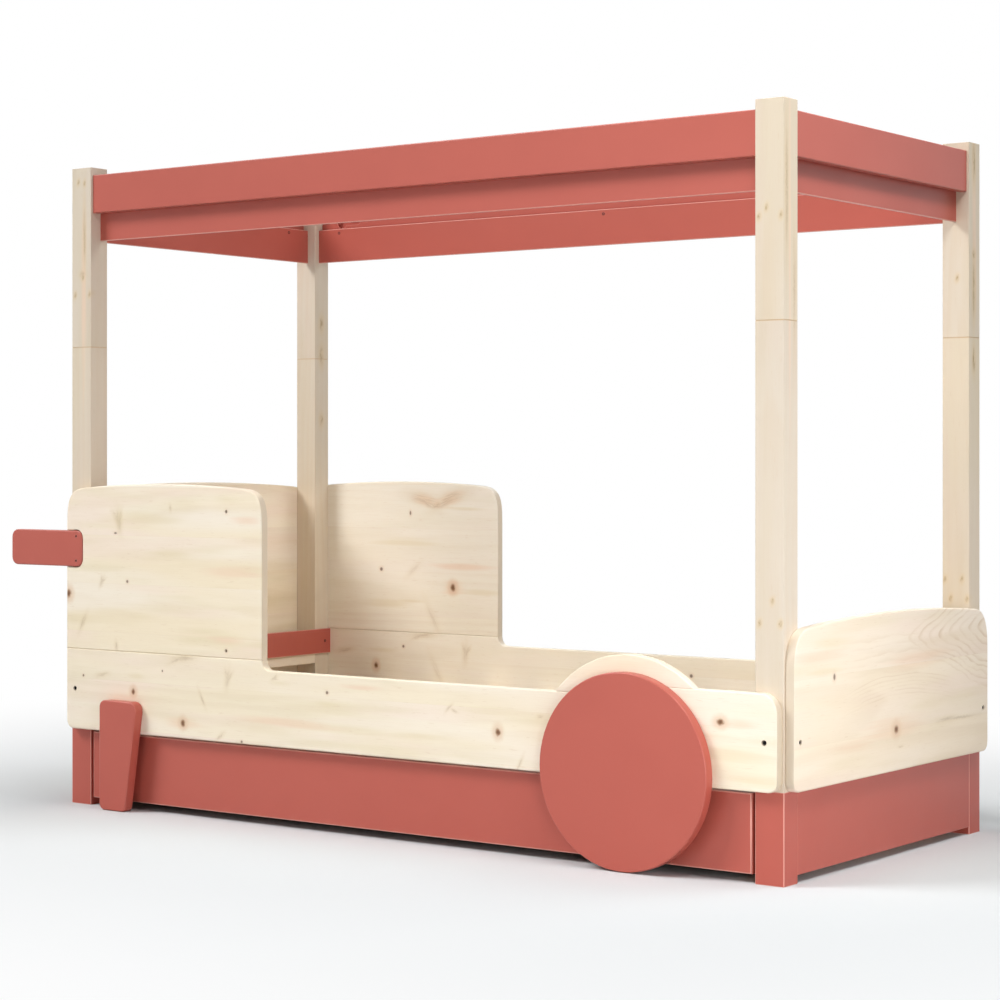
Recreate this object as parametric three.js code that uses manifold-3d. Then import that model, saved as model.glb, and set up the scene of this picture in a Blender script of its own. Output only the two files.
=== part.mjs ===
// Childrens canopy bed with an under-bed drawer on castors.
// Millimetres, +Z up. +X is the foot end, -Y is the long side with the drawer.
import * as THREE from 'three';
import { mergeVertices } from 'three/addons/utils/BufferGeometryUtils.js';
import Module from 'manifold-3d';

const wasm = await Module();
wasm.setup();

// Overall sizes, measured over the four posts
const LENGTH = 2060;
const WIDTH = 920;
const HEIGHT = 1604.5;

// Post section and the heights where its three lengths meet
const POST_X = 68;
const POST_Y = 57;
const POST_CHAMFER = 2;
const POST_END_CHAMFER = 1;
const LEG_TOP = 191.5;
const POST_SPLIT = 1152;

// Pegs that join leg, lower post and upper post
const PEG_R = 14;
const PEG_LENGTH = 38;
const PEG_GAP = 0.3;

// Board thicknesses and soft edges
const BOARD = 22;
const THIN = 8;
const EDGE = 3;
const THIN_EDGE = 1.5;

// How far a cut runs past a face, and how far a joined feature starts inside its own piece
const PAST = 1;
const ROOT = 2;

// Canopy: deep fascia boards with thin boards (valances) hanging inside them
const FASCIA_DOWN = 19.5;
const FASCIA_HEIGHT = 96;
const FASCIA_INSET = 5.5;
const TENON_LENGTH = 18;
const TENON_THICK = 10;
const TENON_SHOULDER = 16;
const VALANCE_HEIGHT = 92;
const VALANCE_LAP = 24;
const VALANCE_INSET = 33;
const GROOVE_DEPTH = 8;

// Keyhole pocket in the inner face of the two long fascia boards
const KEYHOLE_FROM_END = 75;
const KEYHOLE_UP = 44;
const KEYHOLE_R = 18;
const KEYHOLE_SLOT = 65;
const KEYHOLE_SLOT_R = 9.5;
const KEYHOLE_DEPTH = 12;

// Long side boards and the cab boards that stand on them
const SIDE_HEIGHT = 202;
const SIDE_END_INSET = 4;
const SIDE_LOW_R = 22;
const SIDE_FOOT_R = 40;
const ENTRY_DROP = 24;
const FILLET_FLAT = 0.5;
const CAB_LENGTH = 659;
const CAB_HEIGHT = 415;
const CAB_CROWN = 15.5;
const CAB_CORNER = { rx: 75, rz: 100, power: 3.6 };
const CAB_HOLE_R = 2.5;
const CAB_HOLE_DEPTH = 12;
const CAB_HOLE_IN = 113.5;
const CAB_HOLE_LOW = 17.5;
const CAB_HOLE_DOWN = 65;

// Headboard and footboard on the outside of the posts
const END_INSET = 3;
const HEAD_HEIGHT = 616;
const FOOT_HEIGHT = 347;
const END_CROWN = 19;
const END_CORNER = { rx: 70, rz: 90, power: 2.6 };

// Bolts that hold the boards to the posts
const BOLT_UP = 101.5;
const BOLT_R = 3.5;
const BOLT_HEAD_R = 6;
const BOLT_HEAD_DEPTH = 8;
const BOLT_APART = 4;

// Round wheel panel, its mudguard and the leaning stand, with the blocks that carry them
const DISC_FROM_FOOT = 364.5;
const DISC_R = 210;
const FLOOR_GAP = 1;
const MUDGUARD_R = 240;
const MUDGUARD_RISE = 63.5;
const MUDGUARD_EDGE = 2;
const STAND_FROM_HEAD = 147;
const STAND_TOP = 272.5;
const STAND_TOP_WIDTH = 129.5;
const STAND_FOOT_WIDTH = 88;
const STAND_FOOT_R = [16, 12];
const STAND_TOP_R = [22, 17];
const PANEL_THICK = 26.7;
const SLIDE_GAP = 0.3;
const DISC_BLOCK_WIDTH = 150;
const STAND_BLOCK_WIDTH = 56;
const BLOCK_BOTTOM = 45;
const BLOCK_TOP_GAP = 16;

// Drawbar board, let into a notch of the front cab board
const DRAWBAR_OUT = 202;
const DRAWBAR_IN = 55.5;
const DRAWBAR_UP = 206;
const DRAWBAR_HEIGHT = 90.5;
const DRAWBAR_GAP = 3;
const DRAWBAR_R = 20;
const DRAWBAR_SCREW_IN = 33;
const DRAWBAR_SCREW_EDGE = 14.5;
const DRAWBAR_SCREW_DEPTH = 3;

// Short boards across the ends, and the slatted bed base
const BASE_PANEL_BOTTOM = 17;
const CROSS_HEIGHT = 90;
const CROSS_DOWN = 6;
const RED_RAIL_HEIGHT = 68.5;
const RED_RAIL_DOWN = 0;
const RAIL_SCREW_R = 2.5;
const RAIL_SCREW_IN = 24;
const BEARER_THICK = 27;
const BEARER_UP = 8.5;
const BEARER_HEIGHT = 40;
const SLAT_COUNT = 11;
const SLAT_WIDTH = 100;
const SLAT_THICK = 18;
const SLAT_EDGE = 2;
const SLAT_END_GAP = 3;
const SLAT_POST_GAP = 5;

// Drawer on castors
const FRONT_SIDE_GAP = 8;
const FRONT_BOTTOM = 19;
const FRONT_TOP_GAP = 6;
const BOX_SIDE = 16;
const BOX_INSET = 36;
const BOX_BOTTOM = 12;
const BOX_HEIGHT = 138;
const BOX_DEPTH = 838;
const SIDE_CUT_BACK = 40;
const TRAY = 6;
const TRAY_UP = 22;
const TRAY_GROOVE = 6;
const CASTOR_R = 22;
const CASTOR_WIDTH = 14;
const CASTOR_EDGE = 2;
const CASTOR_DISH_R = 8;
const CASTOR_DISH = 2;
const CASTOR_SIDE_GAP = 1;
const CASTOR_FROM_FRONT = 125;
const CASTOR_FROM_BACK = 70;
const AXLE_R = 4;
const AXLE_GAP = 0.08;
const AXLE_LENGTH = 14;
const AXLE_CHAMFER = 0.5;

// Curve steps
const ARC_STEPS = 5;
const CHAMFER_STEPS = 2;
const EDGE_STEPS = 2;
const CROWN_STEPS = 16;
const DISC_STEPS = 72;
const MUDGUARD_STEPS = 24;
const PEG_STEPS = 24;
const HOLE_STEPS = 16;

// Planes that several pieces share
const XO = LENGTH / 2;
const XI = XO - POST_X;
const YO = WIDTH / 2;
const YI = YO - POST_Y;
const POST_CX = (XI + XO) / 2;
const POST_CY = (YI + YO) / 2;
const SIDE_X = XO - SIDE_END_INSET;
const END_Y = YO - END_INSET;
const SIDE_FACE = YO + BOARD;
const END_FACE = XO + BOARD;
const CAB_X = -SIDE_X + CAB_LENGTH;
const PANEL_BACK = SIDE_FACE + SLIDE_GAP;
const PANEL_FACE = PANEL_BACK + PANEL_THICK;
const FRONT_X = XI - FRONT_SIDE_GAP;
const BOX_X = FRONT_X - BOX_INSET;
const BOX_Y0 = -YO + BOARD;
const BOX_Y1 = BOX_Y0 + BOX_DEPTH;
const DISC_X = XO - DISC_FROM_FOOT;
const STAND_LEFT = -XO + STAND_FROM_HEAD;

// Heights that several pieces share
const SIDE_TOP = LEG_TOP + SIDE_HEIGHT;
const SIDE_ENTRY = SIDE_TOP - ENTRY_DROP;
const BOLT_Z = LEG_TOP + BOLT_UP;
const BOLT_IN_POST = Math.min(POST_X, POST_Y) / 2 - BOLT_R - BOLT_APART;
const BEARER_TOP = LEG_TOP + BEARER_UP + BEARER_HEIGHT;
const FASCIA_TOP = HEIGHT - FASCIA_DOWN;
const FASCIA_BOTTOM = FASCIA_TOP - FASCIA_HEIGHT;
const VALANCE_TOP = FASCIA_BOTTOM + VALANCE_LAP;
const VALANCE_BOTTOM = VALANCE_TOP - VALANCE_HEIGHT;
const DISC_Z = DISC_R + FLOOR_GAP;
const DRAWBAR_BOTTOM = SIDE_TOP + DRAWBAR_UP;
const DRAWBAR_TOP = DRAWBAR_BOTTOM + DRAWBAR_HEIGHT;
const FRONT_TOP = LEG_TOP - FRONT_TOP_GAP;
const BLOCK_TOP = LEG_TOP - BLOCK_TOP_GAP;
const BOX_TOP = BOX_BOTTOM + BOX_HEIGHT;

// The row's origin is the middle of the whole outline on the floor
const LOW_X = -SIDE_X - DRAWBAR_OUT;
const ORIGIN_X = (LOW_X + END_FACE) / 2;
const ORIGIN_Y = (SIDE_FACE - PANEL_FACE) / 2;

const FINISHES = {
  pine: { color: 0xe6cfa8, roughness: 0.6, metalness: 0 },
  red: { color: 0xb5553f, roughness: 0.45, metalness: 0 },
  slat: { color: 0xdcc49a, roughness: 0.7, metalness: 0 },
  birch: { color: 0xe0cfa6, roughness: 0.65, metalness: 0 },
  hardboard: { color: 0x9a7a55, roughness: 0.7, metalness: 0 },
  castor: { color: 0x3a3a3c, roughness: 0.5, metalness: 0 },
};

// Solids from three.js geometry and back
function toSolid(geometry) {
  const bare = geometry.clone();
  bare.deleteAttribute('normal');
  bare.deleteAttribute('uv');
  const merged = mergeVertices(bare, 1e-4);
  const mesh = new wasm.Mesh({
    numProp: 3,
    vertProperties: new Float32Array(merged.attributes.position.array),
    triVerts: new Uint32Array(merged.index.array),
  });
  return new wasm.Manifold(mesh);
}

function toGeometry(solid) {
  const mesh = solid.getMesh();
  const geometry = new THREE.BufferGeometry();
  const positions = new Float32Array(mesh.vertProperties);
  geometry.setAttribute('position', new THREE.BufferAttribute(positions, 3));
  geometry.setIndex(new THREE.BufferAttribute(new Uint32Array(mesh.triVerts), 1));
  const flat = geometry.toNonIndexed();
  flat.computeVertexNormals();
  return flat;
}

// Outline with rounded corners from [u, v, radius] corners, for hollow and outward corners alike
function roundedOutline(corners, steps = ARC_STEPS) {
  const points = [];
  const count = corners.length;
  corners.forEach(([u, v, radius], index) => {
    const here = new THREE.Vector2(u, v);
    if (!radius) {
      points.push(here);
      return;
    }
    const before = corners[(index + count - 1) % count];
    const after = corners[(index + 1) % count];
    const toBefore = new THREE.Vector2(before[0] - u, before[1] - v).normalize();
    const toAfter = new THREE.Vector2(after[0] - u, after[1] - v).normalize();
    const angle = Math.acos(THREE.MathUtils.clamp(toBefore.dot(toAfter), -1, 1));
    const reach = radius / Math.tan(angle / 2);
    const middle = toBefore.clone().add(toAfter).normalize();
    const centre = here.clone().addScaledVector(middle, radius / Math.sin(angle / 2));
    const start = here.clone().addScaledVector(toBefore, reach).sub(centre);
    const end = here.clone().addScaledVector(toAfter, reach).sub(centre);
    const sweep = Math.atan2(start.x * end.y - start.y * end.x, start.dot(end));
    for (let step = 0; step <= steps; step += 1) {
      const point = start.clone().rotateAround(new THREE.Vector2(), (sweep * step) / steps);
      points.push(point.add(centre));
    }
  });
  return points;
}

// Board outline with a crowned top edge and soft upper corners
function crownedOutline(half, bottom, top, crown, corner, lowRadius) {
  const drop = (u) => crown * (u / half) ** 2;
  const start = half - corner.rx;
  const right = [];
  for (let step = 0; step <= 2 * ARC_STEPS; step += 1) {
    const angle = (Math.PI / 2) * (step / (2 * ARC_STEPS));
    const u = start + corner.rx * Math.cos(angle) ** (2 / corner.power);
    const rise = corner.rz * Math.sin(angle) ** (2 / corner.power);
    right.push(new THREE.Vector2(u, top - drop(u) - corner.rz + rise));
  }
  for (let step = 1; step < CROWN_STEPS / 2; step += 1) {
    const u = start * (1 - step / (CROWN_STEPS / 2));
    right.push(new THREE.Vector2(u, top - drop(u)));
  }
  const left = right.map((point) => new THREE.Vector2(-point.x, point.y)).reverse();
  const foot = roundedOutline([
    [-half, top, 0],
    [-half, bottom, lowRadius],
    [half, bottom, lowRadius],
    [half, top, 0],
  ]).slice(1, -1);
  return [...foot, ...right, new THREE.Vector2(0, top), ...left];
}

function rectangle(u0, u1, v0, v1, radius = 0, steps = ARC_STEPS) {
  return roundedOutline([
    [u0, v0, radius],
    [u1, v0, radius],
    [u1, v1, radius],
    [u0, v1, radius],
  ], steps);
}

// Flat piece with softened edges, made in its own u, v plane
function slab(outline, thickness, edge, steps) {
  const geometry = new THREE.ExtrudeGeometry(new THREE.Shape(outline), {
    depth: thickness - 2 * edge,
    steps: 1,
    bevelEnabled: edge > 0,
    bevelThickness: edge,
    bevelSize: edge,
    bevelOffset: -edge,
    bevelSegments: steps,
  });
  geometry.translate(0, 0, edge);
  return geometry;
}

const AXES = {
  x: [new THREE.Vector3(0, 1, 0), new THREE.Vector3(0, 0, 1), new THREE.Vector3(1, 0, 0)],
  y: [new THREE.Vector3(1, 0, 0), new THREE.Vector3(0, 0, 1), new THREE.Vector3(0, -1, 0)],
  z: [new THREE.Vector3(1, 0, 0), new THREE.Vector3(0, 1, 0), new THREE.Vector3(0, 0, 1)],
};

// Board whose thickness runs along the named axis, from low to high
function board(axis, outline, low, high, edge = EDGE, steps = EDGE_STEPS) {
  const geometry = slab(outline, high - low, edge, steps);
  geometry.applyMatrix4(new THREE.Matrix4().makeBasis(...AXES[axis]));
  if (axis === 'x') {
    geometry.translate(low, 0, 0);
  } else if (axis === 'y') {
    geometry.translate(0, high, 0);
  } else {
    geometry.translate(0, 0, low);
  }
  return toSolid(geometry);
}

function block(x0, x1, y0, y1, z0, z1) {
  const geometry = new THREE.BoxGeometry(x1 - x0, y1 - y0, z1 - z0);
  geometry.translate((x0 + x1) / 2, (y0 + y1) / 2, (z0 + z1) / 2);
  return toSolid(geometry);
}

// Round bar between two points on one axis
function bar(axis, radius, low, high, a, b, steps = HOLE_STEPS) {
  const geometry = new THREE.CylinderGeometry(radius, radius, high - low, steps);
  const middle = (low + high) / 2;
  if (axis === 'x') {
    geometry.rotateZ(Math.PI / 2);
    geometry.translate(middle, a, b);
  } else if (axis === 'y') {
    geometry.translate(a, middle, b);
  } else {
    geometry.rotateX(Math.PI / 2);
    geometry.translate(a, b, middle);
  }
  return toSolid(geometry);
}

// Turned piece from [radius, distance] points, turning about an axis that runs along X or Y
function turned(axis, profile, steps) {
  const points = profile.map(([radius, along]) => new THREE.Vector2(radius, along));
  const geometry = new THREE.LatheGeometry(points, steps);
  if (axis === 'x') {
    geometry.rotateZ(-Math.PI / 2);
  }
  return toSolid(geometry);
}

// Profile points of a round rim, soft on both edges, from low to high
function softRim(radius, low, high, edge, steps = EDGE_STEPS) {
  const lowSide = [];
  for (let step = 0; step <= steps; step += 1) {
    const angle = (Math.PI / 2) * (step / steps);
    lowSide.push([radius - edge + edge * Math.sin(angle), edge - edge * Math.cos(angle)]);
  }
  const highSide = lowSide.map(([r, along]) => [r, high - along]).reverse();
  return [...lowSide.map(([r, along]) => [r, low + along]), ...highSide];
}

// The bed and its sections
const bed = new THREE.Group();
bed.name = 'canopy_bed';
bed.position.set(-ORIGIN_X, -ORIGIN_Y, 0);

function section(name) {
  const group = new THREE.Group();
  group.name = name;
  bed.add(group);
  return group;
}

const posts = section('posts');
const canopy = section('canopy');
const boards = section('boards');
const base = section('bed_base');
const drawer = section('drawer');

function addPiece(group, name, solid, finish) {
  const material = new THREE.MeshStandardMaterial(FINISHES[finish]);
  material.name = `${name}_finish`;
  const mesh = new THREE.Mesh(toGeometry(solid), material);
  mesh.name = name;
  group.add(mesh);
  return mesh;
}

// Pieces at the two ends and the two long sides are named by the sign of their side
const ENDS = [
  { end: 'head', sx: -1 },
  { end: 'foot', sx: 1 },
];
const SIDES = [
  { side: 'front', sy: -1 },
  { side: 'back', sy: 1 },
];
const CORNERS = ENDS.flatMap((atEnd) => SIDES.map((atSide) => ({ ...atEnd, ...atSide })));

function span(sign, near, far) {
  return sign < 0 ? [-far, -near] : [near, far];
}

// Posts: red leg, lower post and upper post, joined by round pegs
function postLength(sx, sy, z0, z1) {
  const [x0, x1] = span(sx, XI, XO);
  const [y0, y1] = span(sy, YI, YO);
  const outline = rectangle(x0, x1, y0, y1, POST_CHAMFER, CHAMFER_STEPS);
  return board('z', outline, z0, z1, POST_END_CHAMFER, 1);
}

function pegAt(sx, sy, z, gap) {
  return bar('z', PEG_R + gap, z - ROOT, z + PEG_LENGTH + gap, sx * POST_CX, sy * POST_CY, PEG_STEPS);
}

// Holes in a post for the bolt of a long side board and for that of an end board
function postBolts(sx, sy) {
  const [y0, y1] = span(sy, YO - BOLT_IN_POST, YO + PAST);
  const [x0, x1] = span(sx, XO - BOLT_IN_POST, XO + PAST);
  return bar('y', BOLT_R, y0, y1, sx * POST_CX, BOLT_Z)
    .add(bar('x', BOLT_R, x0, x1, sy * POST_CY, BOLT_Z));
}

// Mortise for a fascia tenon at a post
const TENON_LOW = FASCIA_BOTTOM + TENON_SHOULDER;
const TENON_HIGH = FASCIA_TOP - TENON_SHOULDER;

function sideMortise(sx, sy) {
  const middle = YO - FASCIA_INSET - BOARD / 2;
  const [x0, x1] = span(sx, XI - PAST, XI + TENON_LENGTH);
  const [y0, y1] = span(sy, middle - TENON_THICK / 2, middle + TENON_THICK / 2);
  return block(x0, x1, y0, y1, TENON_LOW, TENON_HIGH);
}

function endMortise(sx, sy) {
  const middle = XO - FASCIA_INSET - BOARD / 2;
  const [x0, x1] = span(sx, middle - TENON_THICK / 2, middle + TENON_THICK / 2);
  const [y0, y1] = span(sy, YI - PAST, YI + TENON_LENGTH);
  return block(x0, x1, y0, y1, TENON_LOW, TENON_HIGH);
}

// The tenon is its mortise drawn back by the peg gap, and starts inside the board's soft edge
function tenon(mortise, axis, sign) {
  const shift = (distance) => (axis === 'x' ? [distance, 0, 0] : [0, distance, 0]);
  const root = mortise.translate(shift(-sign * EDGE));
  return mortise.translate(shift(-sign * PEG_GAP)).add(root);
}

// Groove that takes the end of a valance
function sideGroove(sx, sy) {
  const [x0, x1] = span(sx, XI - PAST, XI + GROOVE_DEPTH);
  const [y0, y1] = span(sy, YO - VALANCE_INSET - THIN, YO - VALANCE_INSET);
  return block(x0, x1, y0, y1, VALANCE_BOTTOM, VALANCE_TOP);
}

function endGroove(sx, sy) {
  const [x0, x1] = span(sx, XO - VALANCE_INSET - THIN, XO - VALANCE_INSET);
  const [y0, y1] = span(sy, YI - PAST, YI + GROOVE_DEPTH);
  return block(x0, x1, y0, y1, VALANCE_BOTTOM, VALANCE_TOP);
}

for (const { side, end, sx, sy } of CORNERS) {
  const leg = postLength(sx, sy, 0, LEG_TOP).add(pegAt(sx, sy, LEG_TOP, 0));
  addPiece(posts, `leg_${side}_${end}`, leg, 'red');

  const lower = postLength(sx, sy, LEG_TOP, POST_SPLIT)
    .subtract(pegAt(sx, sy, LEG_TOP, PEG_GAP))
    .subtract(postBolts(sx, sy))
    .add(pegAt(sx, sy, POST_SPLIT, 0));
  addPiece(posts, `lower_post_${side}_${end}`, lower, 'pine');

  const upper = postLength(sx, sy, POST_SPLIT, HEIGHT)
    .subtract(pegAt(sx, sy, POST_SPLIT, PEG_GAP))
    .subtract(sideMortise(sx, sy))
    .subtract(endMortise(sx, sy))
    .subtract(sideGroove(sx, sy))
    .subtract(endGroove(sx, sy));
  addPiece(posts, `upper_post_${side}_${end}`, upper, 'pine');
}

// Keyhole pocket, its slot running away from the round end
function keyhole(sy) {
  const face = YO - FASCIA_INSET - BOARD;
  const [y0, y1] = span(sy, face - PAST, face + KEYHOLE_DEPTH);
  const start = sy * (-XI + KEYHOLE_FROM_END);
  const stop = start + sy * (KEYHOLE_SLOT - KEYHOLE_SLOT_R);
  const z = FASCIA_BOTTOM + KEYHOLE_UP;
  const low = Math.min(start, stop);
  const high = Math.max(start, stop);
  return bar('y', KEYHOLE_R, y0, y1, start, z, PEG_STEPS)
    .add(block(low, high, y0, y1, z - KEYHOLE_SLOT_R, z + KEYHOLE_SLOT_R))
    .add(bar('y', KEYHOLE_SLOT_R, y0, y1, stop, z));
}

// Canopy boards: fascias tenoned into the posts, valances in grooves
for (const { side, sy } of SIDES) {
  const [y0, y1] = span(sy, YO - FASCIA_INSET - BOARD, YO - FASCIA_INSET);
  const fascia = board('y', rectangle(-XI, XI, FASCIA_BOTTOM, FASCIA_TOP), y0, y1)
    .add(tenon(sideMortise(-1, sy), 'x', -1))
    .add(tenon(sideMortise(1, sy), 'x', 1))
    .subtract(keyhole(sy));
  addPiece(canopy, `canopy_fascia_${side}`, fascia, 'red');

  const [v0, v1] = span(sy, YO - VALANCE_INSET - THIN, YO - VALANCE_INSET);
  const reach = XI + GROOVE_DEPTH;
  const outline = rectangle(-reach, reach, VALANCE_BOTTOM, VALANCE_TOP);
  addPiece(canopy, `canopy_valance_${side}`, board('y', outline, v0, v1, THIN_EDGE), 'red');
}

for (const { end, sx } of ENDS) {
  const [x0, x1] = span(sx, XO - FASCIA_INSET - BOARD, XO - FASCIA_INSET);
  const fascia = board('x', rectangle(-YI, YI, FASCIA_BOTTOM, FASCIA_TOP), x0, x1)
    .add(tenon(endMortise(sx, -1), 'y', -1))
    .add(tenon(endMortise(sx, 1), 'y', 1));
  addPiece(canopy, `canopy_fascia_${end}`, fascia, 'red');

  const [v0, v1] = span(sx, XO - VALANCE_INSET - THIN, XO - VALANCE_INSET);
  const reach = YI + GROOVE_DEPTH;
  const outline = rectangle(-reach, reach, VALANCE_BOTTOM, VALANCE_TOP);
  addPiece(canopy, `canopy_valance_${end}`, board('x', outline, v0, v1, THIN_EDGE), 'red');
}

// Stepped hole for a bolt and its sunk head, through a board on the axis's low or high side
function boltHole(axis, sign, face, across) {
  const [a0, a1] = span(sign, face - BOARD - PAST, face + PAST);
  const [h0, h1] = span(sign, face - BOLT_HEAD_DEPTH, face + PAST);
  return bar(axis, BOLT_R, a0, a1, across, BOLT_Z)
    .add(bar(axis, BOLT_HEAD_R, h0, h1, across, BOLT_Z));
}

// Long side boards, cut low at the entry
function sideBoard(sy, corners) {
  const [y0, y1] = span(sy, YO, SIDE_FACE);
  return board('y', roundedOutline(corners), y0, y1)
    .subtract(boltHole('y', sy, SIDE_FACE, -POST_CX))
    .subtract(boltHole('y', sy, SIDE_FACE, POST_CX));
}

const LOW_CORNERS = [
  [-SIDE_X, LEG_TOP, SIDE_LOW_R],
  [SIDE_X, LEG_TOP, SIDE_LOW_R],
];
const CAB_CORNERS = [
  [CAB_X, SIDE_ENTRY, ENTRY_DROP - FILLET_FLAT],
  [CAB_X, SIDE_TOP, 0],
  [-SIDE_X, SIDE_TOP, 0],
];
const FRONT_CORNERS = [
  ...LOW_CORNERS,
  [SIDE_X, SIDE_TOP, SIDE_FOOT_R],
  [DISC_X, SIDE_TOP, 0],
  [DISC_X, SIDE_ENTRY, 0],
  ...CAB_CORNERS,
];
const BACK_CORNERS = [
  ...LOW_CORNERS,
  [SIDE_X, SIDE_ENTRY, SIDE_FOOT_R],
  ...CAB_CORNERS,
];
addPiece(boards, 'side_board_front', sideBoard(-1, FRONT_CORNERS), 'pine');
addPiece(boards, 'side_board_back', sideBoard(1, BACK_CORNERS), 'pine');

// Cab boards with a crowned top, and two blind holes in the front one
function cabBoard(sy) {
  const [y0, y1] = span(sy, YO, SIDE_FACE);
  const half = CAB_LENGTH / 2;
  const top = SIDE_TOP + CAB_HEIGHT;
  const outline = crownedOutline(half, SIDE_TOP, top, CAB_CROWN, CAB_CORNER, 0);
  const placed = outline.map((point) => new THREE.Vector2(point.x - SIDE_X + half, point.y));
  return board('y', placed, y0, y1);
}

function cabHole(z) {
  const [y0, y1] = span(-1, SIDE_FACE - CAB_HOLE_DEPTH, SIDE_FACE + PAST);
  return bar('y', CAB_HOLE_R, y0, y1, CAB_X - CAB_HOLE_IN, z);
}

// Notch that takes the inner end of the drawbar
function drawbarNotch() {
  const radius = DRAWBAR_R + DRAWBAR_GAP;
  const left = -SIDE_X - radius - PAST;
  const right = -SIDE_X + DRAWBAR_IN + DRAWBAR_GAP;
  const outline = rectangle(left, right, DRAWBAR_BOTTOM - DRAWBAR_GAP, DRAWBAR_TOP + DRAWBAR_GAP, radius);
  return board('y', outline, -SIDE_FACE - PAST, -YO + PAST, 0);
}

const cabFront = cabBoard(-1)
  .subtract(cabHole(SIDE_TOP + CAB_HOLE_LOW))
  .subtract(cabHole(SIDE_TOP + CAB_HEIGHT - CAB_HOLE_DOWN))
  .subtract(drawbarNotch());
addPiece(boards, 'cab_board_front', cabFront, 'pine');
addPiece(boards, 'cab_board_back', cabBoard(1), 'pine');

// Mudguard, a round segment stepped over the front side board
function mudguardOutline() {
  const centreZ = SIDE_TOP + MUDGUARD_RISE - MUDGUARD_R;
  const slope = (z) => Math.asin((z - centreZ) / MUDGUARD_R);
  const from = slope(SIDE_TOP);
  const to = Math.PI - slope(SIDE_ENTRY);
  const points = [];
  for (let step = 0; step <= MUDGUARD_STEPS; step += 1) {
    const angle = from + ((to - from) * step) / MUDGUARD_STEPS;
    const x = DISC_X + MUDGUARD_R * Math.cos(angle);
    points.push(new THREE.Vector2(x, centreZ + MUDGUARD_R * Math.sin(angle)));
  }
  points.push(new THREE.Vector2(DISC_X, SIDE_ENTRY));
  points.push(new THREE.Vector2(DISC_X, SIDE_TOP));
  return points;
}
const mudguard = board('y', mudguardOutline(), -SIDE_FACE, -YO, MUDGUARD_EDGE);
addPiece(boards, 'mudguard', mudguard, 'pine');

// Headboard and footboard
function endBoard(sx, height) {
  const [x0, x1] = span(sx, XO, END_FACE);
  const top = LEG_TOP + height;
  const outline = crownedOutline(END_Y, LEG_TOP, top, END_CROWN, END_CORNER, SIDE_LOW_R);
  return board('x', outline, x0, x1)
    .subtract(boltHole('x', sx, END_FACE, -POST_CY))
    .subtract(boltHole('x', sx, END_FACE, POST_CY));
}
addPiece(boards, 'headboard', endBoard(-1, HEAD_HEIGHT), 'pine');
addPiece(boards, 'footboard', endBoard(1, FOOT_HEIGHT), 'pine');

// Red base panels between the legs, and cross rails between the lower posts
for (const { end, sx } of ENDS) {
  const [p0, p1] = span(sx, XO - BOARD, XO);
  const panel = board('x', rectangle(-YI, YI, BASE_PANEL_BOTTOM, LEG_TOP), p0, p1, THIN_EDGE, 1);
  addPiece(base, `base_panel_${end}`, panel, 'red');

  const [r0, r1] = span(sx, XI, XI + BOARD);
  const top = SIDE_TOP - CROSS_DOWN;
  const rail = board('x', rectangle(-YI, YI, top - CROSS_HEIGHT, top), r0, r1, THIN_EDGE);
  addPiece(base, `cross_rail_${end}`, rail, 'pine');
}

// Thin red rail, screwed to the inner faces of the two head posts
const RAIL_TOP = SIDE_TOP - RED_RAIL_DOWN;
const RAIL_BOTTOM = RAIL_TOP - RED_RAIL_HEIGHT;

function railScrew(sy) {
  const middle = (RAIL_BOTTOM + RAIL_TOP) / 2;
  return bar('x', RAIL_SCREW_R, -XI - PAST, -XI + THIN + PAST, sy * (YO - RAIL_SCREW_IN), middle);
}
const redRail = board('x', rectangle(-YO, YO, RAIL_BOTTOM, RAIL_TOP), -XI, -XI + THIN, THIN_EDGE)
  .subtract(railScrew(-1))
  .subtract(railScrew(1));
addPiece(base, 'red_rail_head', redRail, 'red');

// Drawbar board with two screw holes
function drawbarScrew(z) {
  const x = -SIDE_X + DRAWBAR_SCREW_IN;
  return bar('y', BOLT_R, -SIDE_FACE - PAST, -SIDE_FACE + DRAWBAR_SCREW_DEPTH, x, z);
}
const drawbarOutline = rectangle(LOW_X, -SIDE_X + DRAWBAR_IN, DRAWBAR_BOTTOM, DRAWBAR_TOP, DRAWBAR_R);
const drawbar = board('y', drawbarOutline, -SIDE_FACE, -YO)
  .subtract(drawbarScrew(DRAWBAR_BOTTOM + DRAWBAR_SCREW_EDGE))
  .subtract(drawbarScrew(DRAWBAR_TOP - DRAWBAR_SCREW_EDGE));
addPiece(boards, 'drawbar', drawbar, 'red');

// Slat bearers and slats
for (const { side, sy } of SIDES) {
  const [y0, y1] = span(sy, YO - BEARER_THICK, YO);
  const outline = rectangle(-XI, XI, BEARER_TOP - BEARER_HEIGHT, BEARER_TOP);
  addPiece(base, `slat_bearer_${side}`, board('y', outline, y0, y1, THIN_EDGE), 'pine');
}

const SLAT_REACH = YO - SLAT_END_GAP;
const SLAT_PITCH = (2 * (XI - SLAT_POST_GAP) - SLAT_WIDTH) / (SLAT_COUNT - 1);
const slatOutline = rectangle(-SLAT_WIDTH / 2, SLAT_WIDTH / 2, -SLAT_REACH, SLAT_REACH);
const slatSolid = board('z', slatOutline, BEARER_TOP, BEARER_TOP + SLAT_THICK, SLAT_EDGE, 1);
for (let index = 0; index < SLAT_COUNT; index += 1) {
  const slat = addPiece(base, `slat_${String(index + 1).padStart(2, '0')}`, slatSolid, 'slat');
  slat.position.x = (index - (SLAT_COUNT - 1) / 2) * SLAT_PITCH;
}

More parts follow.
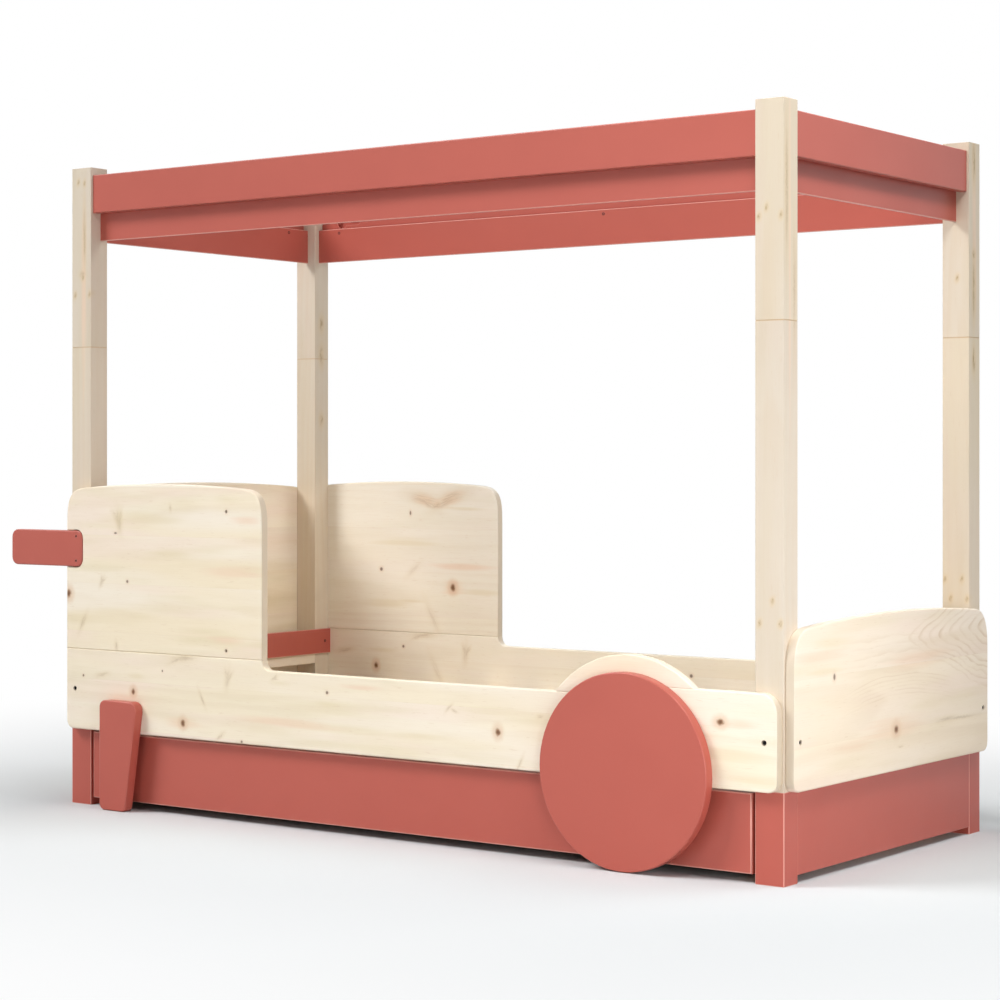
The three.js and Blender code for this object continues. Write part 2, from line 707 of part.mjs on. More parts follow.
// Drawer box: front, back and sides grooved for the bottom
const BOX_IN = BOX_X - BOX_SIDE;
const trayZ = BOX_BOTTOM + TRAY_UP;
const tray = block(
  -BOX_IN - TRAY_GROOVE,
  BOX_IN + TRAY_GROOVE,
  BOX_Y0 - TRAY_GROOVE,
  BOX_Y1 - BOX_SIDE + TRAY_GROOVE,
  trayZ,
  trayZ + TRAY,
);
const frontOutline = rectangle(-FRONT_X, FRONT_X, FRONT_BOTTOM, FRONT_TOP);
addPiece(drawer, 'drawer_front', board('y', frontOutline, -YO, BOX_Y0).subtract(tray), 'red');

const backOutline = rectangle(-BOX_IN, BOX_IN, BOX_BOTTOM, BOX_TOP);
const drawerBack = board('y', backOutline, BOX_Y1 - BOX_SIDE, BOX_Y1, THIN_EDGE);
addPiece(drawer, 'drawer_back', drawerBack.subtract(tray), 'birch');

const AXLES = [
  { row: 'front', y: BOX_Y0 + CASTOR_FROM_FRONT },
  { row: 'back', y: BOX_Y1 - CASTOR_FROM_BACK },
];
const sideOutline = roundedOutline([
  [BOX_Y0, FRONT_BOTTOM, 0],
  [BOX_Y0 + SIDE_CUT_BACK, BOX_BOTTOM, 0],
  [BOX_Y1, BOX_BOTTOM, 0],
  [BOX_Y1, BOX_TOP, 0],
  [BOX_Y0, BOX_TOP, 0],
]);
for (const { end, sx } of ENDS) {
  const [x0, x1] = span(sx, BOX_IN, BOX_X);
  const [a0, a1] = span(sx, BOX_X - AXLE_LENGTH - PAST, BOX_X + PAST);
  let side = board('x', sideOutline, x0, x1, THIN_EDGE);
  for (const { y } of AXLES) {
    side = side.subtract(bar('x', AXLE_R + AXLE_GAP, a0, a1, y, CASTOR_R, PEG_STEPS));
  }
  addPiece(drawer, `drawer_side_${end}`, side.subtract(tray), 'birch');
}
addPiece(drawer, 'drawer_bottom', tray, 'hardboard');

// Castor wheels, each turned in one piece with its axle, which starts at the wheel's own zero
const CASTOR_FAR = CASTOR_SIDE_GAP + CASTOR_WIDTH;
const castorProfile = [
  [0, -AXLE_LENGTH],
  [AXLE_R - AXLE_CHAMFER, -AXLE_LENGTH],
  [AXLE_R, -AXLE_LENGTH + AXLE_CHAMFER],
  [AXLE_R, CASTOR_SIDE_GAP],
  ...softRim(CASTOR_R, CASTOR_SIDE_GAP, CASTOR_FAR, CASTOR_EDGE, 1),
  [CASTOR_DISH_R + CASTOR_DISH, CASTOR_FAR],
  [CASTOR_DISH_R, CASTOR_FAR - CASTOR_DISH],
  [0, CASTOR_FAR - CASTOR_DISH],
];
const castorSolid = turned('x', castorProfile, PEG_STEPS);
for (const { end, sx } of ENDS) {
  for (const { row, y } of AXLES) {
    const castor = addPiece(drawer, `castor_${row}_${end}`, castorSolid, 'castor');
    castor.position.set(sx * BOX_X, y, CASTOR_R);
    castor.rotation.z = sx < 0 ? Math.PI : 0;
  }
}

// Round wheel panel and leaning stand, each held off the drawer front by a block
const discProfile = [
  [0, -PANEL_FACE],
  ...softRim(DISC_R, -PANEL_FACE, -PANEL_BACK, EDGE),
  [0, -PANEL_BACK],
];
const disc = addPiece(drawer, 'wheel_panel', turned('y', discProfile, DISC_STEPS), 'red');
disc.position.set(DISC_X, 0, DISC_Z);

const standOutline = roundedOutline([
  [STAND_LEFT, FLOOR_GAP, STAND_FOOT_R[0]],
  [STAND_LEFT + STAND_FOOT_WIDTH, FLOOR_GAP, STAND_FOOT_R[1]],
  [STAND_LEFT + STAND_TOP_WIDTH, STAND_TOP, STAND_TOP_R[0]],
  [STAND_LEFT, STAND_TOP, STAND_TOP_R[1]],
]);
addPiece(drawer, 'stand_panel', board('y', standOutline, -PANEL_FACE, -PANEL_BACK), 'red');

function holdOff(centre, width) {
  const outline = rectangle(centre - width / 2, centre + width / 2, BLOCK_BOTTOM, BLOCK_TOP);
  return board('y', outline, -PANEL_BACK, -YO, THIN_EDGE);
}
const standMiddle = STAND_LEFT + STAND_FOOT_WIDTH / 2;
addPiece(drawer, 'wheel_block', holdOff(DISC_X, DISC_BLOCK_WIDTH), 'red');
addPiece(drawer, 'stand_block', holdOff(standMiddle, STAND_BLOCK_WIDTH), 'red');

export default bed;
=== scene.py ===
# Looks of the childrens canopy bed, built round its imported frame.
# Metres, in the row frame: +X is the foot end, -Y the long side with the drawer, +Z up.
import math

import bmesh
import bpy
from mathutils import Matrix, Vector


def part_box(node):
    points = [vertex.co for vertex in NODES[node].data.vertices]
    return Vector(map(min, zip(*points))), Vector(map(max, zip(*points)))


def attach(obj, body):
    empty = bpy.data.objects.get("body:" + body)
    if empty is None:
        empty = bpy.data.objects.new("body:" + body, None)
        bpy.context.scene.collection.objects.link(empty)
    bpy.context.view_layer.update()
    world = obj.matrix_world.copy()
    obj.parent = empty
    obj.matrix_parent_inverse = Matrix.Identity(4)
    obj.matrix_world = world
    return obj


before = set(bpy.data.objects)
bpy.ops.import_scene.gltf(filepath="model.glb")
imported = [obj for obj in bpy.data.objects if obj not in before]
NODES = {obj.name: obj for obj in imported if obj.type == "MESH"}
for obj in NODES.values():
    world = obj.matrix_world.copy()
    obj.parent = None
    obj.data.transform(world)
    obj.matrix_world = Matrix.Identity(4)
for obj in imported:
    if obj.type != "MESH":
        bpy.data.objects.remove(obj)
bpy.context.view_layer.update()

# Places that several pieces share, from the frame
PANEL_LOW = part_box("side_board_front")[0]
FOOT_LOW, FOOT_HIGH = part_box("footboard")
HEAD_LOW, HEAD_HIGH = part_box("headboard")
POST_LOW, POST_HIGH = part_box("lower_post_front_foot")
POST_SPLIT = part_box("upper_post_front_foot")[0].z
BED_MIDDLE = (FOOT_LOW + HEAD_HIGH) / 2
FRONT_FACE = PANEL_LOW.y - BED_MIDDLE.y
BACK_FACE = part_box("side_board_back")[0].y - BED_MIDDLE.y

# Where the photograph was taken from, measured from the middle of the bed on the floor
CAMERA_PLACE = (3.4546, -4.7337, 0.86525)
CAMERA_TURN = math.radians(36.298)
LENS = 86.655
SENSOR = 36.0
SHIFT_Y = -0.0391
NEAREST_SEEN = 0.1
FARTHEST_SEEN = 100.0


def from_middle(place):
    """A place measured from the middle of the bed on the floor, in the row frame."""
    return Vector((BED_MIDDLE.x + place[0], BED_MIDDLE.y + place[1], place[2]))


# Colours, given as they look on a screen
def seen(red, green, blue):
    """A screen colour from 0 to 255 as the linear colour that a shader takes."""
    parts = [value / 255 for value in (red, green, blue)]
    linear = [v / 12.92 if v <= 0.04045 else ((v + 0.055) / 1.055) ** 2.4 for v in parts]
    return (*linear, 1.0)


SAPWOOD = seen(254, 243, 226)
HONEY = seen(248, 231, 197)
ROSY = seen(251, 231, 215)
OLIVE = seen(231, 215, 175)
LATEWOOD = seen(210, 180, 142)
END_GRAIN = seen(214, 198, 176)
TAN = seen(201, 186, 168)
PALE = seen(252, 247, 234)
BLUSH = seen(244, 210, 182)
KNOT_HEART = seen(160, 118, 84)
KNOT_CORE = seen(96, 66, 46)
KNOT_HALO = seen(228, 194, 160)
SMEAR = seen(164, 134, 92)
SMEAR_HALO = seen(222, 199, 160)
PAINT = seen(190, 95, 81)
PAINT_DEEP = seen(178, 85, 72)
# Painted highlight: the pale tone laid on rounded paint edges, where they would catch light
PAINT_EDGE_HIGHLIGHT = seen(236, 172, 158)
BIRCH = seen(236, 220, 190)
BIRCH_FLECK = seen(205, 182, 146)
BOARD_BROWN = seen(158, 124, 88)
BOARD_DARK = seen(122, 92, 62)
CASTOR_GREY = seen(66, 66, 68)
TYRE_GREY = seen(38, 38, 40)
STEEL = seen(150, 150, 152)
BLACK_OXIDE = seen(30, 29, 30)
PAINTED_STEEL = seen(110, 44, 38)
FLOOR_TONE = seen(218, 223, 225)
FLOOR_BOUNCE = seen(200, 204, 207)
FLOOR_DUST = seen(236, 236, 236)
WHITE = (1, 1, 1, 1)

# How much of each tone is laid on the pine
OLIVE_SHARE = 0.38
BLUSH_SHARE = 0.50
SMEAR_SHARE = 0.36
SMEAR_HALO_SHARE = 0.28
STRIP_SHARE = 0.14
SEAM_SHARE = 0.10
END_GRAIN_SHARE = 0.85


# Shader maths: a number that varies over a surface, written as in Python
class Field:
    """A node's output. Sums written on it add Math nodes."""

    def __init__(self, finish, socket):
        self.finish = finish
        self.socket = socket

    def other(self, name):
        """Another output of the same node."""
        return Field(self.finish, self.socket.node.outputs[name])

    def __add__(self, value):
        return self.finish.math("ADD", self, value)

    def __radd__(self, value):
        return self.finish.math("ADD", value, self)

    def __sub__(self, value):
        return self.finish.math("SUBTRACT", self, value)

    def __rsub__(self, value):
        return self.finish.math("SUBTRACT", value, self)

    def __mul__(self, value):
        return self.finish.math("MULTIPLY", self, value)

    def __truediv__(self, value):
        return self.finish.math("DIVIDE", self, value)

    def __abs__(self):
        return self.finish.math("ABSOLUTE", self)


class Finish:
    """The nodes of a material or of the world, and the ways of adding to them."""

    def __init__(self, name, kind="materials"):
        self.owner = getattr(bpy.data, kind).new(name)
        self.owner.use_nodes = True
        self.tree = self.owner.node_tree
        self.tree.nodes.clear()

    def node(self, kind, settings=None, sockets=None, out=0):
        """Adds one node: its settings first, then the values or links of its sockets."""
        made = self.tree.nodes.new("ShaderNode" + kind)
        for name, value in (settings or {}).items():
            setattr(made, name, value)
        for name, value in (sockets or {}).items():
            if isinstance(value, Field):
                self.tree.links.new(value.socket, made.inputs[name])
            else:
                made.inputs[name].default_value = value
        return Field(self, made.outputs[out]) if made.outputs else None

    def math(self, operation, *values):
        return self.node("Math", {"operation": operation}, dict(enumerate(values)))

    def vector(self, operation, *values, out=0):
        return self.node("VectorMath", {"operation": operation}, dict(enumerate(values)), out)

    def join(self, x, y, z=0.0):
        return self.node("CombineXYZ", None, {"X": x, "Y": y, "Z": z})

    def split(self, vector):
        x = self.node("SeparateXYZ", None, {0: vector}, "X")
        return x, x.other("Y"), x.other("Z")

    def ramp(self, value, low, high, start=0.0, stop=1.0):
        """A soft step: start below low, stop above high."""
        sockets = {"Value": value, "From Min": low, "From Max": high, "To Min": start, "To Max": stop}
        return self.node("MapRange", {"interpolation_type": "SMOOTHSTEP"}, sockets)

    def noise(self, vector, scale=1.0, detail=2.0, roughness=0.5):
        sockets = {"Vector": vector, "Scale": scale, "Detail": detail, "Roughness": roughness}
        return self.node("TexNoise", None, sockets)

    def tint(self, share, under, over):
        """Over laid on under by its share."""
        settings = {"data_type": "RGBA", "blend_type": "MIX", "clamp_factor": True}
        return self.node("Mix", settings, {0: share, 6: under, 7: over}, 2)

    def place(self):
        """Metres in the row frame, which stay with the piece as it moves."""
        return self.node("TexCoord", None, None, "Object")

    def looked_at(self):
        """One for rays from the camera or from a reflection, nought for light on its way."""
        path = self.node("LightPath", None, None, "Is Camera Ray")
        looks = path + path.other("Is Glossy Ray") + path.other("Is Transmission Ray")
        return self.math("MINIMUM", looks, 1.0)

    def shaded(self, colour, roughness, height, depth, **constants):
        """Closes the material with its shader and returns it."""
        sockets = {"Base Color": colour, "Roughness": roughness}
        sockets.update({name.replace("_", " "): value for name, value in constants.items()})
        bump = self.node("Bump", None, {"Strength": 1.0, "Distance": depth, "Height": height})
        sockets["Normal"] = bump
        surface = self.node("BsdfPrincipled", None, sockets)
        self.node("OutputMaterial", None, {"Surface": surface})
        return self.owner


# Pine, as solid wood in each board's own axes: along the grain, across it, and through it
AXES = {"X": 0, "Y": 1, "Z": 2}

# Glued strips are counted from well outside the bed, and each is cut from another part of a log
STRIPS_FROM = 7.0
STRIP_SHIFT = 3.7

# How far the pith of the year rings lies aside and under, and how far it wanders
PITH_ASIDE = 0.11
PITH_UNDER = 0.06
PITH_UNDER_LEAST = 0.02
PITH_WANDER_ACROSS = 0.08
PITH_WANDER_THROUGH = 0.07

# Fibres and flecks to the metre, and the height of the fibres
FIBRES = 700.0
FLECKS = 330.0
FIBRE_HEIGHT = 0.0002
PINE_ROUGH = 0.52
PINE_SHINE = 0.3

# Marks: depth of one that goes right through, length of a branch's stroke in its radii, hairs of a
# smear to a radius, and how far outlines are shaken
ALL_THROUGH = 1.0
BRANCH_LONG = 2.9
HAIRS_TO_A_RADIUS = 3.2
SHAKE = (0.006, 0.006, 0.006)


class Mark:
    """A knot, dot or stain, placed from the middle of the bed.

    Its radius is across the grain, and it is so many times longer along the grain.
    """

    def __init__(self, place, radius, long=1.0, rise=0.0, depth=ALL_THROUGH, strong=1.0):
        self.place = from_middle(place)
        self.strong = strong
        self.radius = radius
        self.long = long
        self.rise = math.radians(rise)
        self.depth = depth

    def around(self, wood, place, along, up):
        """Where a place lies as seen from the mark, in radii."""
        through = 3 - AXES[along] - AXES[up]
        size = [self.depth] * 3
        size[AXES[along]] = self.radius * self.long
        size[AXES[up]] = self.radius
        turn = [0.0, 0.0, 0.0]
        turn[through] = self.rise
        sockets = {"Vector": place, "Location": self.place, "Rotation": turn, "Scale": size}
        return wood.node("Mapping", {"vector_type": "TEXTURE"}, sockets)


def nearest_of(wood, place, marks, along, up):
    """How many radii away the nearest of these marks is."""
    nearest = None
    for mark in marks:
        away = wood.vector("LENGTH", mark.around(wood, place, along, up), out="Value")
        nearest = away if nearest is None else wood.math("MINIMUM", nearest, away)
    return nearest


def draw_knots(wood, colour, height, place, broken, knots, along, up):
    """Brown knots, darker inside, with a soft edge and a rosy halo, each between two distances."""
    away = nearest_of(wood, place, knots, along, up) + (broken - 0.5) * 0.5
    colour = wood.tint(wood.ramp(away, 0.8, 3.2, 0.60, 0.0), colour, KNOT_HALO)
    colour = wood.tint(wood.ramp(away, 0.45, 1.30, 0.95, 0.0), colour, KNOT_HEART)
    colour = wood.tint(wood.ramp(away, 0.10, 0.85, 0.80, 0.0), colour, KNOT_CORE)
    return colour, height + wood.ramp(away, 0.5, 1.1, 0.6, 0.0)


def draw_smears(wood, colour, place, smears, along, up):
    """Brown brushed marks, where a branch was cut along its length."""
    hairs_across = [1.0, 1.0, 1.0]
    hairs_across[AXES[up]] = HAIRS_TO_A_RADIUS
    share = None
    halo = None
    for smear in smears:
        around = smear.around(wood, place, along, up)
        away = wood.vector("LENGTH", around, out="Value")
        spread = wood.vector("MULTIPLY_ADD", around, hairs_across, smear.place * 9.0)
        hairs = wood.noise(spread, 1.0, detail=3.0, roughness=0.65)
        stroke = wood.ramp(away, 0.10, 1.30, smear.strong, 0.0) * wood.ramp(hairs, 0.32, 0.66)
        soft = wood.ramp(away, 0.3, 2.4, smear.strong, 0.0)
        share = stroke if share is None else wood.math("MAXIMUM", share, stroke)
        halo = soft if halo is None else wood.math("MAXIMUM", halo, soft)
    colour = wood.tint(halo * SMEAR_HALO_SHARE, colour, SMEAR_HALO)
    return wood.tint(share * SMEAR_SHARE, colour, SMEAR)


def draw_stains(wood, colour, place, broken, stains, along, up, tone, share):
    """Long soft areas of another tone."""
    away = nearest_of(wood, place, stains, along, up) + (broken - 0.5) * 1.7
    return wood.tint(wood.ramp(away, 0.15, 1.30, share, 0.0), colour, tone)


def pine(name, along, up, seed, strip=0.12, ring=0.012, bold=0.10, streaky=0.50,
         knots=(), specks=(), smears=(), olives=(), blushes=(),
         figure=None, lean=0.0, tone=None, strip_at=None):
    """Pale pine whose grain runs one way, glued up from strips across the other.

    Strip is the width of a glued strip and ring the step between year rings, in metres.
    Bold is how much the rings show, streaky how much the olive streaks do, and lean how far
    the wood goes towards another tone. Figure draws lines of its own, and strip_at, where it
    is given, numbers the lengths of wood in place of the strips.
    """
    wood = Finish(name)
    place = wood.place()
    axes = wood.split(place)
    through = 3 - AXES[along] - AXES[up]
    a = axes[AXES[along]]
    c = axes[AXES[up]]
    t = axes[through]

    # Each glued strip has chances of its own
    index = strip_at(wood, axes) if strip_at else wood.math("FLOOR", (c + STRIPS_FROM) / strip)
    chance = wood.node("TexWhiteNoise", {"noise_dimensions": "1D"}, {"W": index + seed}, "Color")
    c_chance, t_chance, tone_chance = wood.split(chance)
    shift = index * STRIP_SHIFT + seed

    # Year rings lie round a pith that wanders along the board and differs from strip to strip
    wobble = wood.noise(wood.join(a * 0.9, c * 4.0 + shift, t), detail=1.0)
    ripple = wood.noise(wood.join(a * 5.0, c * 40.0, t * 40.0 + shift), detail=2.0)
    drift = wood.noise(wood.join(a * 0.7, shift, 0.0), detail=1.0).other("Color")
    c_drift, t_drift, _ = wood.split(drift)
    local = wood.math("FRACT", (c + STRIPS_FROM) / strip) * strip
    c_pith = (c_chance - 0.3) * PITH_ASIDE + (c_drift - 0.5) * PITH_WANDER_ACROSS
    t_pith = t_chance * PITH_UNDER + PITH_UNDER_LEAST + (t_drift - 0.5) * PITH_WANDER_THROUGH
    radius = wood.vector("LENGTH", wood.join(local - c_pith, t * 0.35 - t_pith), out="Value")
    rings = radius / ring + (wobble - 0.5) * 1.4 + (ripple - 0.5) * 0.35

    # Marks lie on a slightly shaken place, so that their outlines are broken
    broken = wood.noise(place, 85.0, detail=3.0, roughness=0.6)
    tremble = wood.vector("SUBTRACT", broken.other("Color"), (0.5, 0.5, 0.5))
    shaken = wood.vector("ADD", place, wood.vector("MULTIPLY", tremble, SHAKE))

    # Cream wood with soft honey, rosy and olive areas and faint year rings
    band = wood.math("FRACT", rings)
    line = wood.ramp(band, 0.15, 0.80) * wood.ramp(band, 0.82, 1.0, 1.0, 0.0)
    showing = wood.noise(wood.join(a * 1.1, c * 9.0, shift), detail=2.0)
    line_share = line * wood.ramp(showing, 0.34, 0.66, 0.15, 1.0) * bold
    honey = wood.noise(wood.join(a * 1.3, c * 9.0, shift + 4.0), detail=2.0)
    rosy = wood.noise(wood.join(a * 1.9, c * 13.0, shift + 9.0), detail=2.0)
    olive = wood.noise(wood.join(a * 2.6, c * 22.0, t * 9.0 + shift), detail=2.0, roughness=0.45)
    streak = wood.noise(wood.join(a * 3.0, c * 60.0, t * 30.0 + shift), detail=3.0)
    colour = wood.tint(wood.ramp(honey, 0.34, 0.66, 0.0, 0.65), SAPWOOD, HONEY)
    colour = wood.tint(wood.ramp(rosy, 0.48, 0.68, 0.0, 0.60), colour, ROSY)
    colour = wood.tint(wood.ramp(olive, 0.46, 0.76, 0.0, streaky), colour, OLIVE)
    colour = wood.tint(wood.ramp(streak, 0.52, 0.78, 0.0, streaky * 0.25), colour, OLIVE)
    if lean:
        colour = wood.tint(lean, colour, tone)
    if olives:
        colour = draw_stains(wood, colour, place, streak, olives, along, up, OLIVE, OLIVE_SHARE)
    if blushes:
        colour = draw_stains(wood, colour, place, streak, blushes, along, up, BLUSH, BLUSH_SHARE)
    colour = wood.tint(line_share, colour, LATEWOOD)
    if figure:
        colour = wood.tint(figure(wood, a, c, wobble, ripple), colour, LATEWOOD)
    colour = wood.tint(tone_chance * STRIP_SHARE, colour, HONEY)

    # Fibres, fine flecks and the seams between strips
    fibre = wood.noise(wood.join(a * 14.0, c * FIBRES, t * FIBRES), detail=2.0)
    fleck = wood.noise(wood.join(a * 38.0, c * FLECKS, t * FLECKS + 3.0), detail=1.0)
    colour = wood.tint(wood.ramp(fibre, 0.45, 0.75, 0.0, 0.08), colour, LATEWOOD)
    colour = wood.tint(wood.ramp(fleck, 0.68, 0.76, 0.0, 0.16), colour, LATEWOOD)
    if not strip_at:
        seam = wood.ramp(abs(local / strip - 0.5), 0.494, 0.4995)
        colour = wood.tint(seam * SEAM_SHARE, colour, LATEWOOD)

    height = fibre * 0.25 + line * 0.3
    if smears:
        colour = draw_smears(wood, colour, shaken, smears, along, up)
    if knots:
        colour, height = draw_knots(wood, colour, height, shaken, broken, knots, along, up)
    if specks:
        dot = nearest_of(wood, place, specks, along, up)
        colour = wood.tint(wood.ramp(dot, 0.8, 2.6, 0.28, 0.0), colour, KNOT_HALO)
        colour = wood.tint(wood.ramp(dot, 0.45, 1.25, 0.80, 0.0), colour, KNOT_CORE)

    # End grain shows where the surface faces along the board
    facing = wood.node("TexCoord", None, None, "Normal")
    end = wood.ramp(abs(wood.split(facing)[AXES[along]]), 0.55, 0.95)
    colour = wood.tint(end * END_GRAIN_SHARE, colour, END_GRAIN)
    rough = PINE_ROUGH + (fibre - 0.5) * 0.16 - line * 0.04
    return wood.shaded(colour, rough, height, FIBRE_HEIGHT, Specular_IOR_Level=PINE_SHINE)


def on_front(x, z, radius, long=1.0, rise=0.0):
    """A mark on the outer face of the front boards."""
    return Mark((x, FRONT_FACE, z), radius, long, -rise)


def on_back(x, z, radius, long=1.0, rise=0.0, strong=1.0):
    """A mark on the inner face of the back boards."""
    return Mark((x, BACK_FACE, z), radius, long, -rise, strong=strong)


def on_foot(y, z, radius, long=1.0, rise=0.0):
    """A mark on the outer face of the footboard."""
    return Mark((FOOT_HIGH.x - BED_MIDDLE.x, y, z), radius, long, rise)


def branch(face, x, z, size=1.0, rise=90.0):
    """Three strokes that meet at their low ends, as a branch leaves them."""
    turn = math.radians(rise)
    strokes = []
    for spread, reach, radius in (
        (28.0, 0.012, 0.0048),
        (-24.0, 0.011, 0.0046),
        (4.0, 0.004, 0.0070),
    ):
        angle = turn + math.radians(spread)
        centre_x = x + reach * size * math.cos(angle)
        centre_z = z + reach * size * math.sin(angle)
        strokes.append(face(centre_x, centre_z, radius * size, BRANCH_LONG, math.degrees(angle)))
    return strokes


def side_board_pine():
    knots = [
        on_front(-0.791, 0.296, 0.0080, 0.8),
        on_front(-0.623, 0.229, 0.0085, 0.9),
        on_front(0.326, 0.271, 0.0090, 0.8),
        on_front(0.893, 0.329, 0.0070, 1.3),
    ]
    specks = [
        on_front(-0.966, 0.327, 0.0034),
        on_front(-0.165, 0.329, 0.0042),
        on_front(-0.431, 0.197, 0.0034),
        on_front(-0.692, 0.352, 0.0030, 0.8),
    ]
    smears = branch(on_front, -0.477, 0.340, 1.0, 75.0) + branch(on_front, -0.330, 0.352, 0.5, 20.0)
    smears += [
        on_front(-0.623, 0.387, 0.0080, 5.0, 4.0),
        on_front(-0.648, 0.380, 0.0050, 4.0, 20.0),
        on_front(-0.560, 0.292, 0.0040, 5.0, 118.0),
        on_front(-0.899, 0.333, 0.0050, 4.0, 12.0),
        on_front(-0.500, 0.205, 0.0045, 3.0, 40.0),
        on_front(0.190, 0.315, 0.0030, 4.0, 45.0),
        on_front(0.205, 0.310, 0.0030, 3.0, -20.0),
        on_front(0.440, 0.312, 0.0040, 2.0, 10.0),
        on_front(0.385, 0.205, 0.0035, 5.0, 65.0),
    ]
    olives = [
        on_front(-0.780, 0.334, 0.008, 4.0),
        on_front(-0.165, 0.301, 0.009, 5.5, -3.0),
        on_front(-0.310, 0.343, 0.007, 6.0),
        on_front(0.300, 0.316, 0.010, 11.0),
        on_front(-0.120, 0.250, 0.012, 14.0),
        on_front(0.100, 0.247, 0.009, 12.0),
        on_front(0.900, 0.262, 0.020, 6.0),
        on_front(0.960, 0.216, 0.008, 8.0),
    ]
    blushes = [
        on_front(-0.290, 0.252, 0.012, 14.0),
        on_front(0.940, 0.327, 0.011, 4.0),
        on_front(-0.625, 0.229, 0.014, 4.0),
        on_front(-0.060, 0.345, 0.007, 9.0),
    ]
    return pine("side_board_pine", "X", "Z", seed=11.0, lean=0.15, tone=PALE,
                knots=knots, specks=specks, smears=smears, olives=olives, blushes=blushes)


def cab_front_pine():
    knots = [on_front(-1.018, 0.531, 0.0110, 0.8)]
    specks = [
        on_front(-0.812, 0.567, 0.0042),
        on_front(-0.853, 0.686, 0.0026, 2.0),
        on_front(-0.481, 0.744, 0.0044),
        on_front(-0.481, 0.411, 0.0044),
    ]
    smears = branch(on_front, -0.842, 0.712, 1.3, 98.0) + branch(on_front, -0.902, 0.562, 0.7, 60.0)
    smears += [
        on_front(-0.968, 0.460, 0.0060, 4.0, 62.0),
        on_front(-0.850, 0.405, 0.0055, 2.2, 95.0),
        on_front(-0.665, 0.750, 0.0040, 2.0, 100.0),
    ]
    olives = [
        on_front(-0.480, 0.773, 0.012, 4.8, -2.0),
        on_front(-0.675, 0.639, 0.009, 9.0),
        on_front(-0.675, 0.503, 0.015, 9.0),
        on_front(-0.930, 0.600, 0.014, 8.0),
        on_front(-0.840, 0.720, 0.012, 3.0, 90.0),
        on_front(-0.560, 0.455, 0.010, 9.0),
    ]
    blushes = [
        on_front(-0.416, 0.724, 0.010, 5.0),
        on_front(-0.483, 0.436, 0.010, 6.5),
        on_front(-0.460, 0.600, 0.016, 6.0),
    ]
    return pine("cab_front_pine", "X", "Z", seed=23.0,
                knots=knots, specks=specks, smears=smears, olives=olives, blushes=blushes)


def cab_back_pine():
    knots = [on_back(-0.519, 0.521, 0.0105, 0.8)]
    specks = [
        on_back(-0.769, 0.565, 0.0055),
        on_back(-0.666, 0.722, 0.0065, 0.5),
    ]
    smears = [
        on_back(-0.527, 0.765, 0.0150, 3.4, 14.0, 1.0),
        on_back(-0.545, 0.753, 0.0110, 3.6, 24.0, 1.1),
        on_back(-0.620, 0.761, 0.0150, 3.4, -12.0, 0.9),
        on_back(-0.602, 0.749, 0.0110, 3.0, -24.0, 1.0),
        on_back(-0.574, 0.744, 0.0060, 3.0, 10.0, 1.5),
        on_back(-0.589, 0.437, 0.0090, 5.0, 118.0, 0.5),
        on_back(-0.655, 0.567, 0.0080, 3.4, 40.0, 0.5),
    ]
    olives = [
        on_back(-0.480, 0.735, 0.006, 12.0, -2.0),
        on_back(-0.700, 0.640, 0.012, 10.0),
        on_back(-0.740, 0.470, 0.014, 6.0),
        on_back(-0.420, 0.510, 0.010, 7.0),
        on_back(-0.670, 0.480, 0.006, 9.0),
    ]
    blushes = [
        on_back(-0.533, 0.758, 0.020, 2.6, 18.0),
        on_back(-0.612, 0.756, 0.020, 2.4, -16.0),
        on_back(-0.572, 0.748, 0.016, 2.0),
        on_back(-0.490, 0.577, 0.011, 10.0),
        on_back(-0.519, 0.521, 0.024, 1.6),
    ]
    # Painted light: this inner board leans far towards PALE, so that it looks lit though it stands in
    # the front cab board's shade
    return pine("cab_back_pine", "X", "Z", seed=31.0, lean=0.70, tone=PALE,
                knots=knots, specks=specks, smears=smears, olives=olives, blushes=blushes)


def side_back_pine():
    knots = [on_back(-0.788, 0.297, 0.0090, 0.8)]
    specks = [on_back(-0.691, 0.354, 0.0042), on_back(0.240, 0.321, 0.0050)]
    smears = branch(on_back, -0.476, 0.340, 1.1, 80.0)
    smears += [
        on_back(-0.617, 0.388, 0.0070, 5.5, 4.0),
        on_back(-0.640, 0.382, 0.0050, 4.0, 16.0),
        on_back(-0.575, 0.293, 0.0080, 5.0, 118.0, 0.5),
        on_back(-0.900, 0.335, 0.0060, 4.0, 10.0),
    ]
    olives = [
        on_back(-0.760, 0.340, 0.008, 8.0),
        on_back(0.560, 0.330, 0.014, 12.0),
        on_back(0.760, 0.290, 0.010, 14.0),
    ]
    return pine("side_back_pine", "X", "Z", seed=37.0, lean=0.60, tone=PALE,
                knots=knots, specks=specks, smears=smears, olives=olives)


def sharp_below(wood, level):
    """Lines at every whole number, each of its own strength, that fade on one side."""
    part = wood.math("FRACT", level)
    fading = wood.ramp(part, 0.0, 0.45, 1.0, 0.0)
    start = wood.ramp(part, 0.88, 1.0)
    number = wood.math("FLOOR", level + 0.3)
    strength = wood.node("TexWhiteNoise", {"noise_dimensions": "1D"}, {"W": number}, "Value")
    return wood.math("MAXIMUM", fading, start) * (strength * 0.7 + 0.3)


